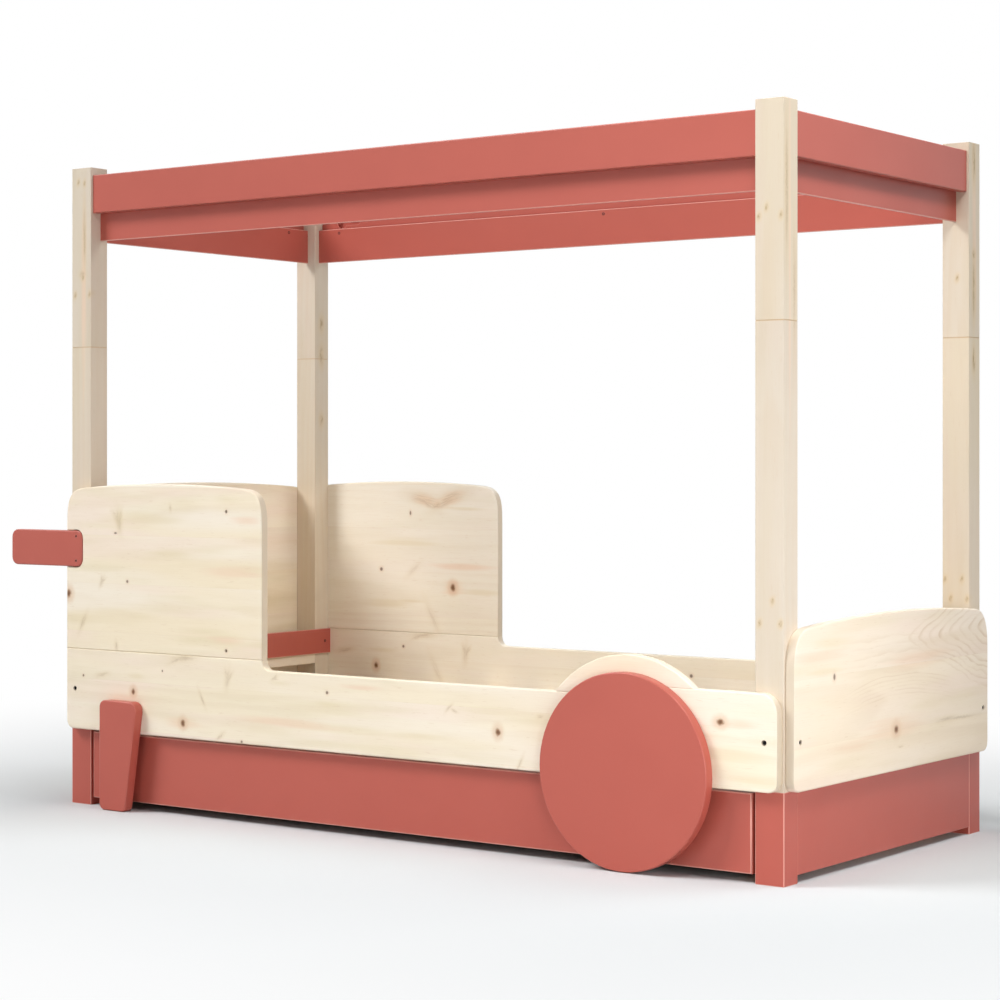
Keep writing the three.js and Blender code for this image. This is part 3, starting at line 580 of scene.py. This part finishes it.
def footboard_figure(wood, a, c, wobble, ripple):
    """Nested peaks at the back end, and long flat arcs in the middle."""
    peak_up, peak_step = 0.478, 0.050
    arc_up, arc_step = 0.400, 0.0085
    broad_up, broad_step = 0.447, 0.020
    y = a - BED_MIDDLE.y
    wave = wood.noise(wood.join(y * 9.0, c * 16.0, 3.0), detail=2.0) - 0.5
    patch = wood.noise(wood.join(y * 10.0, c * 30.0, 8.0), detail=2.0)
    shown = wood.ramp(patch, 0.35, 0.60, 0.25, 1.0)
    bend = (wobble - 0.5) * 0.05 + (ripple - 0.5) * 0.005 + wave * 0.030
    across = (c - peak_up + bend) / 0.27
    peak = y - 0.025 - wood.math("SQRT", across * across + 0.0060)
    peaks = sharp_below(wood, peak / peak_step + (ripple - 0.5) * 0.2 + wave * 0.4)
    inside = wood.ramp(peak, -0.090, -0.050)

    away = y - 0.02
    arc = c - arc_up + away * away * 0.42 + bend * 0.30
    arcs = sharp_below(wood, arc / arc_step + (ripple - 0.5) * 0.7)
    near = wood.ramp(abs(arc + 0.020), 0.018, 0.032, 1.0, 0.0)
    near = near * wood.ramp(abs(away), 0.13, 0.30, 1.0, 0.0)

    broad = c - broad_up + away * away * 0.10 + bend * 0.8
    few = sharp_below(wood, broad / broad_step + (ripple - 0.5) * 0.5)
    few = few * wood.ramp(abs(broad), 0.02, 0.06, 1.0, 0.0)
    left = wood.ramp(y, -0.30, -0.12) * wood.ramp(y, 0.05, 0.25, 1.0, 0.0)
    flat = wood.math("MAXIMUM", arcs * near * 0.50, few * left * 0.30)
    return wood.math("MAXIMUM", peaks * inside * 0.55, flat) * shown


def footboard_pine():
    knots = [on_foot(-0.008, 0.282, 0.0095, 1.1)]
    specks = [on_foot(-0.288, 0.416, 0.0075, 0.7)]
    smears = [
        on_foot(0.235, 0.284, 0.0055, 9.0, 1.0),
        on_foot(0.310, 0.281, 0.0035, 20.0, -1.0),
        on_foot(0.012, 0.243, 0.0022, 5.0),
    ]
    olives = [
        on_foot(-0.300, 0.485, 0.012, 8.0),
        on_foot(0.350, 0.330, 0.016, 10.0),
        on_foot(-0.330, 0.430, 0.008, 9.0),
    ]
    blushes = [
        on_foot(-0.360, 0.461, 0.014, 9.0),
        on_foot(-0.010, 0.285, 0.030, 5.0),
        on_foot(-0.200, 0.262, 0.012, 10.0),
        on_foot(0.100, 0.430, 0.020, 8.0),
    ]
    return pine("footboard_pine", "Y", "Z", seed=41.0, lean=0.35, tone=ROSY,
                strip=0.14, ring=0.011, bold=0.16, streaky=0.45, figure=footboard_figure,
                knots=knots, specks=specks, smears=smears, olives=olives, blushes=blushes)


def headboard_pine():
    face = HEAD_LOW.x - BED_MIDDLE.x
    knots = [Mark((face, 0.21, 0.62), 0.010, 0.9), Mark((face, -0.17, 0.37), 0.009)]
    return pine("headboard_pine", "Y", "Z", seed=53.0, bold=0.16, knots=knots)


def mudguard_pine():
    return pine("mudguard_pine", "X", "Z", seed=67.0, strip=0.16, bold=0.05, streaky=0.25,
                lean=0.1, tone=PALE)


def post_corner(wood, axes):
    """A number of its own for each post and each of its lengths."""
    x, y, z = axes
    upper = wood.math("GREATER_THAN", z, POST_SPLIT)
    foot = wood.math("GREATER_THAN", x, BED_MIDDLE.x)
    back = wood.math("GREATER_THAN", y, BED_MIDDLE.y)
    return upper * 4.0 + foot * 2.0 + back


def post_joint(wood, a, c, wobble, ripple):
    """The fine line where the upper length stands on the lower one, as a figure for pine."""
    return wood.ramp(abs(a - POST_SPLIT), 0.0008, 0.0018, 1.0, 0.0)


def post_pine():
    front = POST_LOW.y - BED_MIDDLE.y
    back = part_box("lower_post_back_foot")[0].y - BED_MIDDLE.y
    inner_foot = POST_HIGH.x - BED_MIDDLE.x
    inner_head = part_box("lower_post_back_head")[1].x - BED_MIDDLE.x
    shallow = 0.012
    dots = [
        (1.003, front, 0.580), (0.973, front, 0.534), (1.021, front, 0.534), (0.989, front, 1.382),
        (0.971, front, 1.364), (1.023, front, 1.365), (-1.018, front, 1.284), (-0.968, front, 1.285),
        (-1.007, front, 1.569), (-0.985, front, 1.565), (-0.991, front, 1.328), (0.969, back, 0.590),
        (1.012, back, 0.591), (0.983, back, 0.545), (1.024, back, 0.545), (1.000, back, 1.290),
    ]
    smears = [Mark(place, 0.0044, long=1.8, rise=10.0, depth=shallow, strong=2.2) for place in dots]
    smears.append(Mark((-0.985, front, 1.430), 0.0050, long=14.0, depth=shallow, strong=1.8))
    smears.append(Mark((-0.992, front, 1.336), 0.0110, long=0.8, depth=shallow, strong=1.2))
    # Red-brown heartwood streaks on the faces towards the foot end
    smears += [
        Mark((inner_foot, 0.428, z), 0.010, long=long, depth=0.007, strong=2.6)
        for z, long in ((1.560, 4.5), (1.345, 1.2), (1.265, 6.5), (1.100, 3.0))
    ]
    smears += [
        Mark((inner_head, 0.430, z), 0.010, long=long, depth=0.008, strong=2.0)
        for z, long in ((1.25, 2.0), (1.16, 2.6), (0.98, 1.6))
    ]
    smears.append(Mark((inner_foot, -0.449, 1.420), 0.0050, long=26.0, depth=0.006, strong=1.6))
    smears.append(Mark((inner_foot, -0.418, 1.220), 0.0040, long=30.0, depth=0.006, strong=1.3))
    blushes = [
        Mark((inner_foot, -0.436, 1.300), 0.014, long=26.0, depth=0.006),
        Mark((inner_foot, 0.430, 1.400), 0.012, long=20.0, depth=shallow),
        Mark((-0.988, front, 1.300), 0.009, long=30.0, depth=shallow),
    ]
    return pine("post_pine", "Z", "X", seed=71.0, ring=0.0085, bold=0.14, streaky=0.35,
                lean=0.62, tone=TAN, figure=post_joint, strip_at=post_corner,
                smears=smears, blushes=blushes)


def hidden_pine(name, along, up, seed):
    """Plainer pine of the rails, bearers and slats."""
    return pine(name, along, up, seed, strip=0.066, bold=0.35, lean=0.2, tone=TAN)


# Satin paint on smooth board, with a painted highlight laid along its rounded edges
PAINT_ROUNDING = 0.0042
PAINT_ROUGH = 0.35
PAINT_SHINE = 0.4


def red_paint(name, wear_and_highlight, arrises=""):
    """The share after the name is how strong the painted highlight on the rounded edges is, and
    arrises are the axes between which they are rounded.
    """
    paint = Finish(name)
    place = paint.place()
    cloud = paint.noise(place, 5.0, detail=2.0)
    peel = paint.noise(place, 420.0, detail=2.0)
    colour = paint.tint(paint.ramp(cloud, 0.35, 0.70, 0.0, 0.25), PAINT, PAINT_DEEP)
    # Painted highlight: rounded edges, found from the bevel normal and, for arrises, from faces
    # sloping between axes, are laid paler
    rounded = paint.node("Bevel", {"samples": 8}, {"Radius": PAINT_ROUNDING})
    plain = paint.node("NewGeometry", None, None, "True Normal")
    turn = 1.0 - paint.vector("DOT_PRODUCT", rounded, plain, out="Value")
    edge = paint.ramp(turn, 0.015, 0.20)
    parts = paint.split(paint.vector("ABSOLUTE", plain))
    for axis in arrises:
        part = parts[AXES[axis]]
        sloping = paint.ramp(part, 0.12, 0.30) * paint.ramp(part, 0.90, 0.98, 1.0, 0.0)
        edge = paint.math("MAXIMUM", edge, sloping)
    colour = paint.tint(edge * wear_and_highlight, colour, PAINT_EDGE_HIGHLIGHT)
    rough = PAINT_ROUGH + (cloud - 0.5) * 0.10 + (peel - 0.5) * 0.06
    return paint.shaded(colour, rough, peel, depth=0.00006, Specular_IOR_Level=PAINT_SHINE)


def birch_ply():
    ply = Finish("birch_ply")
    x, y, z = ply.split(ply.place())
    figure = ply.noise(ply.join(x * 2.0, y * 2.0, z * 40.0), detail=3.0)
    fleck = ply.noise(ply.join(x * 60.0, y * 60.0, z * 700.0), detail=1.0)
    colour = ply.tint(ply.ramp(figure, 0.42, 0.66, 0.0, 0.6), BIRCH, HONEY)
    colour = ply.tint(ply.ramp(fleck, 0.60, 0.75, 0.0, 0.5), colour, BIRCH_FLECK)
    return ply.shaded(colour, 0.5 + (fleck - 0.5) * 0.2, fleck, depth=0.0001)


def hardboard():
    board = Finish("hardboard")
    place = board.place()
    felt = board.noise(place, 260.0, detail=4.0, roughness=0.7)
    blotch = board.noise(place, 9.0, detail=3.0)
    colour = board.tint(board.ramp(felt, 0.35, 0.70), BOARD_BROWN, BOARD_DARK)
    colour = board.tint(board.ramp(blotch, 0.45, 0.70, 0.0, 0.35), colour, BOARD_DARK)
    return board.shaded(colour, 0.55 + (felt - 0.5) * 0.3, felt, depth=0.0002)


def castor_plastic():
    plastic = Finish("castor_plastic")
    place = plastic.place()
    grit = plastic.noise(place, 900.0, detail=2.0)
    wear_and_highlight = plastic.noise(place, 60.0, detail=3.0)
    colour = plastic.tint(plastic.ramp(wear_and_highlight, 0.40, 0.70), TYRE_GREY, CASTOR_GREY)
    return plastic.shaded(colour, 0.45 + (wear_and_highlight - 0.5) * 0.3, grit, depth=0.00008)


def metal(name, colour, rough, shine):
    """Brushed or blackened steel."""
    steel = Finish(name)
    brushed = steel.noise(steel.place(), 1500.0, detail=2.0)
    colour = steel.tint(steel.ramp(brushed, 0.30, 0.80, 0.0, 0.3), colour, BLACK_OXIDE)
    varied = rough + (brushed - 0.5) * 0.2
    return steel.shaded(colour, varied, brushed, depth=0.00002, Metallic=shine)


# Finishes and smooth shading on the frame's own nodes
JOIN_WITHIN = 0.00001
SOFT_BEND = math.radians(50)
LARGE_FACES_LEAD = 100


def wear(node, material):
    """Gives a node its one material."""
    piece = NODES[node]
    piece.data.materials.clear()
    piece.data.materials.append(material)


def smoothing():
    """Geometry nodes that join the faceted faces and shade their bends smooth."""
    group = bpy.data.node_groups.new("joined_and_smooth", "GeometryNodeTree")
    group.interface.new_socket("Geometry", in_out="INPUT", socket_type="NodeSocketGeometry")
    group.interface.new_socket("Geometry", in_out="OUTPUT", socket_type="NodeSocketGeometry")
    given = group.nodes.new("NodeGroupInput")
    result = group.nodes.new("NodeGroupOutput")
    merge = group.nodes.new("GeometryNodeMergeByDistance")
    merge.inputs["Distance"].default_value = JOIN_WITHIN
    forget = group.nodes.new("GeometryNodeRemoveAttribute")
    forget.inputs["Name"].default_value = "custom_normal"
    bend = group.nodes.new("GeometryNodeInputMeshEdgeAngle")
    soft = group.nodes.new("FunctionNodeCompare")
    soft.data_type = "FLOAT"
    soft.operation = "LESS_THAN"
    soft.inputs[1].default_value = SOFT_BEND
    faces = group.nodes.new("GeometryNodeSetShadeSmooth")
    edges = group.nodes.new("GeometryNodeSetShadeSmooth")
    edges.domain = "EDGE"
    link = group.links.new
    link(given.outputs[0], merge.inputs["Geometry"])
    link(merge.outputs["Geometry"], forget.inputs["Geometry"])
    link(forget.outputs["Geometry"], faces.inputs["Geometry"])
    link(faces.outputs["Geometry"], edges.inputs["Geometry"])
    link(bend.outputs["Unsigned Angle"], soft.inputs[0])
    link(soft.outputs["Result"], edges.inputs["Shade Smooth"])
    link(edges.outputs["Geometry"], result.inputs[0])
    return group


def smooth_all():
    """Smooth bends and flat faces on every node of the frame."""
    group = smoothing()
    for piece in NODES.values():
        joined = piece.modifiers.new("joined_and_smooth", "NODES")
        joined.node_group = group
        weighted = piece.modifiers.new("flat_faces", "WEIGHTED_NORMAL")
        weighted.keep_sharp = True
        weighted.weight = LARGE_FACES_LEAD


def dress_frame():
    """A finish for every node, by the longest start of its name in the list."""
    # Both red paints carry a painted highlight on their rounded edges; the second lays it more
    # strongly and on faceted arrises too
    red = red_paint("red_paint", 0.50)
    edge_highlit_red = red_paint("edge_highlit_red_paint", 0.72, "XYZ")
    post = post_pine()
    birch = birch_ply()
    plastic = castor_plastic()
    rail = hidden_pine("cross_rail_pine", "Y", "Z", 83.0)
    bearer = hidden_pine("bearer_pine", "X", "Z", 89.0)
    slat = hidden_pine("slat_pine", "Y", "X", 97.0)
    finishes = {
        "leg": edge_highlit_red,
        "lower_post": post,
        "upper_post": post,
        "canopy": red,
        "canopy_valance": edge_highlit_red,
        "side_board_front": side_board_pine(),
        "side_board_back": side_back_pine(),
        "cab_board_front": cab_front_pine(),
        "cab_board_back": cab_back_pine(),
        "mudguard": mudguard_pine(),
        "headboard": headboard_pine(),
        "footboard": footboard_pine(),
        "base_panel": red,
        "cross_rail": rail,
        "red_rail": edge_highlit_red,
        "drawbar": red,
        "slat_bearer": bearer,
        "slat_": slat,
        "drawer_front": edge_highlit_red,
        "drawer_back": birch,
        "drawer_side": birch,
        "drawer_bottom": hardboard(),
        "castor": plastic,
        "wheel": red,
        "stand": red,
    }
    for node in NODES:
        match = max((start for start in finishes if node.startswith(start)), key=len)
        wear(node, finishes[match])


# Fasteners: heads with a recess, seated in or on the boards.
# Corners round a head; its rounding, its recess's taper and half a cross arm's width, as shares.
HEAD_STEPS = 48
HEAD_ROUNDING = 0.12
RECESS_TAPER = 0.92
CROSS_ARM = 0.3
TINY = 1e-6


def hexagon(angle):
    """How far out a hexagon of unit corners reaches at an angle."""
    side = math.pi / 3
    return math.cos(side / 2) / math.cos((angle % side) - side / 2)


def cross(angle):
    """How far out a cross with arms of unit length reaches at an angle."""
    reach = max(abs(math.cos(angle)), abs(math.sin(angle)))
    narrow = max(min(abs(math.cos(angle)), abs(math.sin(angle))), TINY)
    return min(1.0 / reach, CROSS_ARM / narrow)


# Radius and depth of each head, radius and depth of its recess, and the recess's shape
BOLT_HEAD = (0.0038, 0.006, 0.0024, 0.0030, hexagon)
SCREW_HEAD = (0.0042, 0.0014, 0.0026, 0.0012, cross)
DRAWBAR_SCREW_HEAD = (0.0033, 0.0013, 0.0022, 0.001, cross)

# Where the heads stand on their boards
BOLT_UP = 0.293
BOLT_SUNK = 0.0015
SCREW_PROUD = 0.0006
VALANCE_SCREW_DOWN = 0.0115
VALANCE_SCREW_ALONG = 0.888
VALANCE_SCREW_ACROSS = 0.323
RAIL_SCREW_IN = 0.024
DRAWBAR_SCREW_IN = 0.0225
DRAWBAR_SCREW_EDGE = 0.0145
DRAWBAR_SCREW_SUNK = 0.0016
SLAT_SCREW_IN = 0.0135
SLATS = 11

# Ways that a head can face
TO_FOOT = Vector((1, 0, 0))
TO_HEAD = Vector((-1, 0, 0))
TO_BACK = Vector((0, 1, 0))
TO_FRONT = Vector((0, -1, 0))
UP = Vector((0, 0, 1))


def recessed_head(name, material, body, centre, outward, head):
    """A round head whose face looks outward, with its recess."""
    radius, depth, recess, recess_depth, shape = head
    mesh = bpy.data.meshes.new(name)
    edit = bmesh.new()
    soft = radius * HEAD_ROUNDING

    def ring(size, level):
        """Corners round the head, at one distance or at one that differs by angle."""
        points = []
        for step in range(HEAD_STEPS):
            angle = 2 * math.pi * step / HEAD_STEPS
            reach = size(angle) if callable(size) else size
            points.append(edit.verts.new((reach * math.cos(angle), reach * math.sin(angle), level)))
        return points

    rings = [
        ring(radius, -depth),
        ring(radius, -soft),
        ring(radius - soft, 0.0),
        ring(lambda angle: recess * shape(angle), 0.0),
        ring(lambda angle: recess * shape(angle) * RECESS_TAPER, -recess_depth),
    ]
    for near, far in zip(rings, rings[1:]):
        for step in range(HEAD_STEPS):
            after = (step + 1) % HEAD_STEPS
            edit.faces.new((near[step], near[after], far[after], far[step]))
    edit.faces.new(list(reversed(rings[0])))
    edit.faces.new(rings[-1])
    bmesh.ops.recalc_face_normals(edit, faces=edit.faces)
    edit.to_mesh(mesh)
    edit.free()
    mesh.materials.append(material)
    piece = bpy.data.objects.new(name, mesh)
    bpy.context.scene.collection.objects.link(piece)
    turned = outward.to_track_quat("Z", "Y").to_matrix().to_4x4()
    piece.matrix_world = Matrix.Translation(centre) @ turned
    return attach(piece, body)


def board_bolts(steel):
    """One bolt through each board into each post behind it."""
    post_x = (POST_LOW.x + POST_HIGH.x) / 2
    post_y = (POST_LOW.y + POST_HIGH.y) / 2
    head_x = sum(corner.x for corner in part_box("lower_post_front_head")) / 2
    back_y = sum(corner.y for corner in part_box("lower_post_back_foot")) / 2
    back_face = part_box("side_board_back")[1].y
    places = []
    for end, x in (("head", head_x), ("foot", post_x)):
        places.append((f"bolt_front_{end}", (x, PANEL_LOW.y, BOLT_UP), TO_FRONT))
        places.append((f"bolt_back_{end}", (x, back_face, BOLT_UP), TO_BACK))
    for side, y in (("front", post_y), ("back", back_y)):
        places.append((f"bolt_foot_{side}", (FOOT_HIGH.x, y, BOLT_UP), TO_FOOT))
        places.append((f"bolt_head_{side}", (HEAD_LOW.x, y, BOLT_UP), TO_HEAD))
    for name, face, outward in places:
        centre = Vector(face) - outward * BOLT_SUNK
        recessed_head(name, steel, "frame", centre, outward, BOLT_HEAD)


def screw(name, steel, face, outward):
    """A screw whose head stands a little proud of a face."""
    centre = Vector(face) + outward * SCREW_PROUD
    recessed_head(name, steel, "frame", centre, outward, SCREW_HEAD)


def valance_screws(painted):
    """Screws through the valances into the fascia boards, near their top edge."""
    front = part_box("canopy_valance_front")[1]
    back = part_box("canopy_valance_back")[0]
    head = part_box("canopy_valance_head")[1]
    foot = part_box("canopy_valance_foot")[0]
    height = front.z - VALANCE_SCREW_DOWN
    along = BED_MIDDLE.x
    across = BED_MIDDLE.y
    long_places = (along - VALANCE_SCREW_ALONG, along, along + VALANCE_SCREW_ALONG)
    end_places = (across - VALANCE_SCREW_ACROSS, across + VALANCE_SCREW_ACROSS)
    for number, x in enumerate(long_places, 1):
        screw(f"valance_screw_front_{number}", painted, (x, front.y, height), TO_BACK)
        screw(f"valance_screw_back_{number}", painted, (x, back.y, height), TO_FRONT)
    for number, y in enumerate(end_places, 1):
        screw(f"valance_screw_head_{number}", painted, (head.x, y, height), TO_FOOT)
        screw(f"valance_screw_foot_{number}", painted, (foot.x, y, height), TO_HEAD)


def rail_and_drawbar_screws(painted):
    """Two screws in the red rail, and two smaller ones sunk in the drawbar."""
    low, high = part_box("red_rail_head")
    for side, y in (("front", low.y + RAIL_SCREW_IN), ("back", high.y - RAIL_SCREW_IN)):
        screw(f"rail_screw_{side}", painted, (high.x, y, (low.z + high.z) / 2), TO_FOOT)
    low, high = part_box("drawbar")
    x = high.x - DRAWBAR_SCREW_IN
    for place, z in (("low", low.z + DRAWBAR_SCREW_EDGE), ("high", high.z - DRAWBAR_SCREW_EDGE)):
        centre = Vector((x, low.y + DRAWBAR_SCREW_SUNK, z))
        name = f"drawbar_screw_{place}"
        recessed_head(name, painted, "frame", centre, TO_FRONT, DRAWBAR_SCREW_HEAD)


def slat_screws(steel):
    """One screw at each end of each slat, into its bearer."""
    for number in range(1, SLATS + 1):
        low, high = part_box(f"slat_{number:02d}")
        x = (low.x + high.x) / 2
        for side, y in (("front", low.y + SLAT_SCREW_IN), ("back", high.y - SLAT_SCREW_IN)):
            screw(f"slat_{number:02d}_screw_{side}", steel, (x, y, high.z), UP)


# Studio: floor, world, lamps and camera
FLOOR_HALF = 30.0
DUST_SHARE = 0.04

# Half the length and width of the shaded floor, and how far round it the floor has turned white
HALF_LONG = 1.06
HALF_WIDE = 0.50
WHITE_FROM = 2.3


def studio_floor():
    """A pale floor that takes the shadow and turns plain white away from the bed."""
    floor = Finish("studio_floor")
    x, y, _ = floor.split(floor.place())
    beyond_x = floor.math("MAXIMUM", abs(x - BED_MIDDLE.x) - HALF_LONG, 0.0)
    beyond_y = floor.math("MAXIMUM", abs(y - BED_MIDDLE.y) - HALF_WIDE, 0.0)
    away = floor.vector("LENGTH", floor.join(beyond_x, beyond_y), out="Value")
    near = floor.math("MAXIMUM", 1.0 - away / WHITE_FROM, 0.0)
    fade = 1.0 - near * near
    dust = floor.noise(floor.place(), 3.0, detail=3.0)
    tone = floor.tint(dust * DUST_SHARE, FLOOR_TONE, FLOOR_DUST)
    tone = floor.tint(floor.looked_at(), FLOOR_BOUNCE, tone)
    lit = floor.node("BsdfDiffuse", None, {"Color": tone})
    white = floor.node("Emission", None, {"Color": WHITE, "Strength": 1.0})
    surface = floor.node("MixShader", None, {0: fade * floor.looked_at(), 1: lit, 2: white})
    floor.node("OutputMaterial", None, {"Surface": surface})

    mesh = bpy.data.meshes.new("studio_floor")
    corners = [(x * FLOOR_HALF, y * FLOOR_HALF, 0) for x, y in ((-1, -1), (1, -1), (1, 1), (-1, 1))]
    mesh.from_pydata(corners, [], [(0, 1, 2, 3)])
    mesh.materials.append(floor.owner)
    piece = bpy.data.objects.new("studio_floor", mesh)
    bpy.context.scene.collection.objects.link(piece)


# Soft lamps: where each stands, what it is aimed at, its size, its power and its spread in degrees
MIDDLE_UP = (0.0, 0.0, 0.8)
OPEN = 180.0
LAMPS = (
    ("key", (-6.50, -6.50, 8.51), MIDDLE_UP, 4.8, 1100.0, OPEN),
    ("behind", (6.50, 6.50, 8.51), MIDDLE_UP, 4.8, 320.0, OPEN),
    ("behind_high", (4.24, 4.24, 11.19), MIDDLE_UP, 4.8, 210.0, OPEN),
    ("front", (-0.33, -3.17, 1.02), MIDDLE_UP, 1.2, 11.0, OPEN),
    ("near_corner", (1.71, -1.61, 2.60), MIDDLE_UP, 1.0, 19.0, OPEN),
    ("right", (2.61, -0.91, 0.70), (1.03, -0.26, 0.48), 0.9, 1.95, 70.0),
    ("low_right", (2.60, -2.10, 0.30), (1.03, -0.36, 0.18), 0.8, 3.9, 80.0),
    ("canopy_end", (2.60, -0.50, 3.60), (1.03, -0.26, 1.50), 0.6, 3.1, 48.0),
    ("right_high", (3.89, 0.00, 4.69), MIDDLE_UP, 2.4, 15.0, OPEN),
)


def studio_light():
    """Soft lamps, and a world that is white to look at but gives no light."""
    sky = Finish("studio_white", "worlds")
    unlit = sky.node("Background", None, {"Color": WHITE, "Strength": 0.0})
    white = sky.node("Background", None, {"Color": WHITE, "Strength": 1.0})
    surface = sky.node("MixShader", None, {0: sky.looked_at(), 1: unlit, 2: white})
    sky.node("OutputWorld", None, {"Surface": surface})
    bpy.context.scene.world = sky.owner
    for name, place, aim, size, power, spread in LAMPS:
        lamp = bpy.data.lights.new(name, "AREA")
        lamp.shape = "SQUARE"
        lamp.size = size
        lamp.energy = power
        lamp.spread = math.radians(spread)
        holder = bpy.data.objects.new(name, lamp)
        holder.location = from_middle(place)
        backward = from_middle(place) - from_middle(aim)
        holder.rotation_euler = backward.to_track_quat("Z", "Y").to_euler()
        bpy.context.scene.collection.objects.link(holder)


def photo_camera():
    """A level camera where the photograph was taken, with its view shifted down."""
    lens = bpy.data.cameras.new("photo_camera")
    lens.lens = LENS
    lens.sensor_width = SENSOR
    lens.shift_y = SHIFT_Y
    lens.clip_start = NEAREST_SEEN
    lens.clip_end = FARTHEST_SEEN
    camera = bpy.data.objects.new("photo_camera", lens)
    camera.location = from_middle(CAMERA_PLACE)
    camera.rotation_euler = (math.pi / 2, 0.0, CAMERA_TURN)
    bpy.context.scene.collection.objects.link(camera)
    bpy.context.scene.camera = camera


dress_frame()
smooth_all()
bolt_steel = metal("bolt_steel", BLACK_OXIDE, rough=0.45, shine=0.6)
screw_steel = metal("screw_steel", STEEL, rough=0.35, shine=0.9)
painted_screw = metal("painted_screw", PAINTED_STEEL, rough=0.5, shine=0.0)
board_bolts(bolt_steel)
valance_screws(painted_screw)
rail_and_drawbar_screws(painted_screw)
slat_screws(screw_steel)
studio_floor()
studio_light()
photo_camera()
bpy.context.scene.view_settings.view_transform = "Standard"
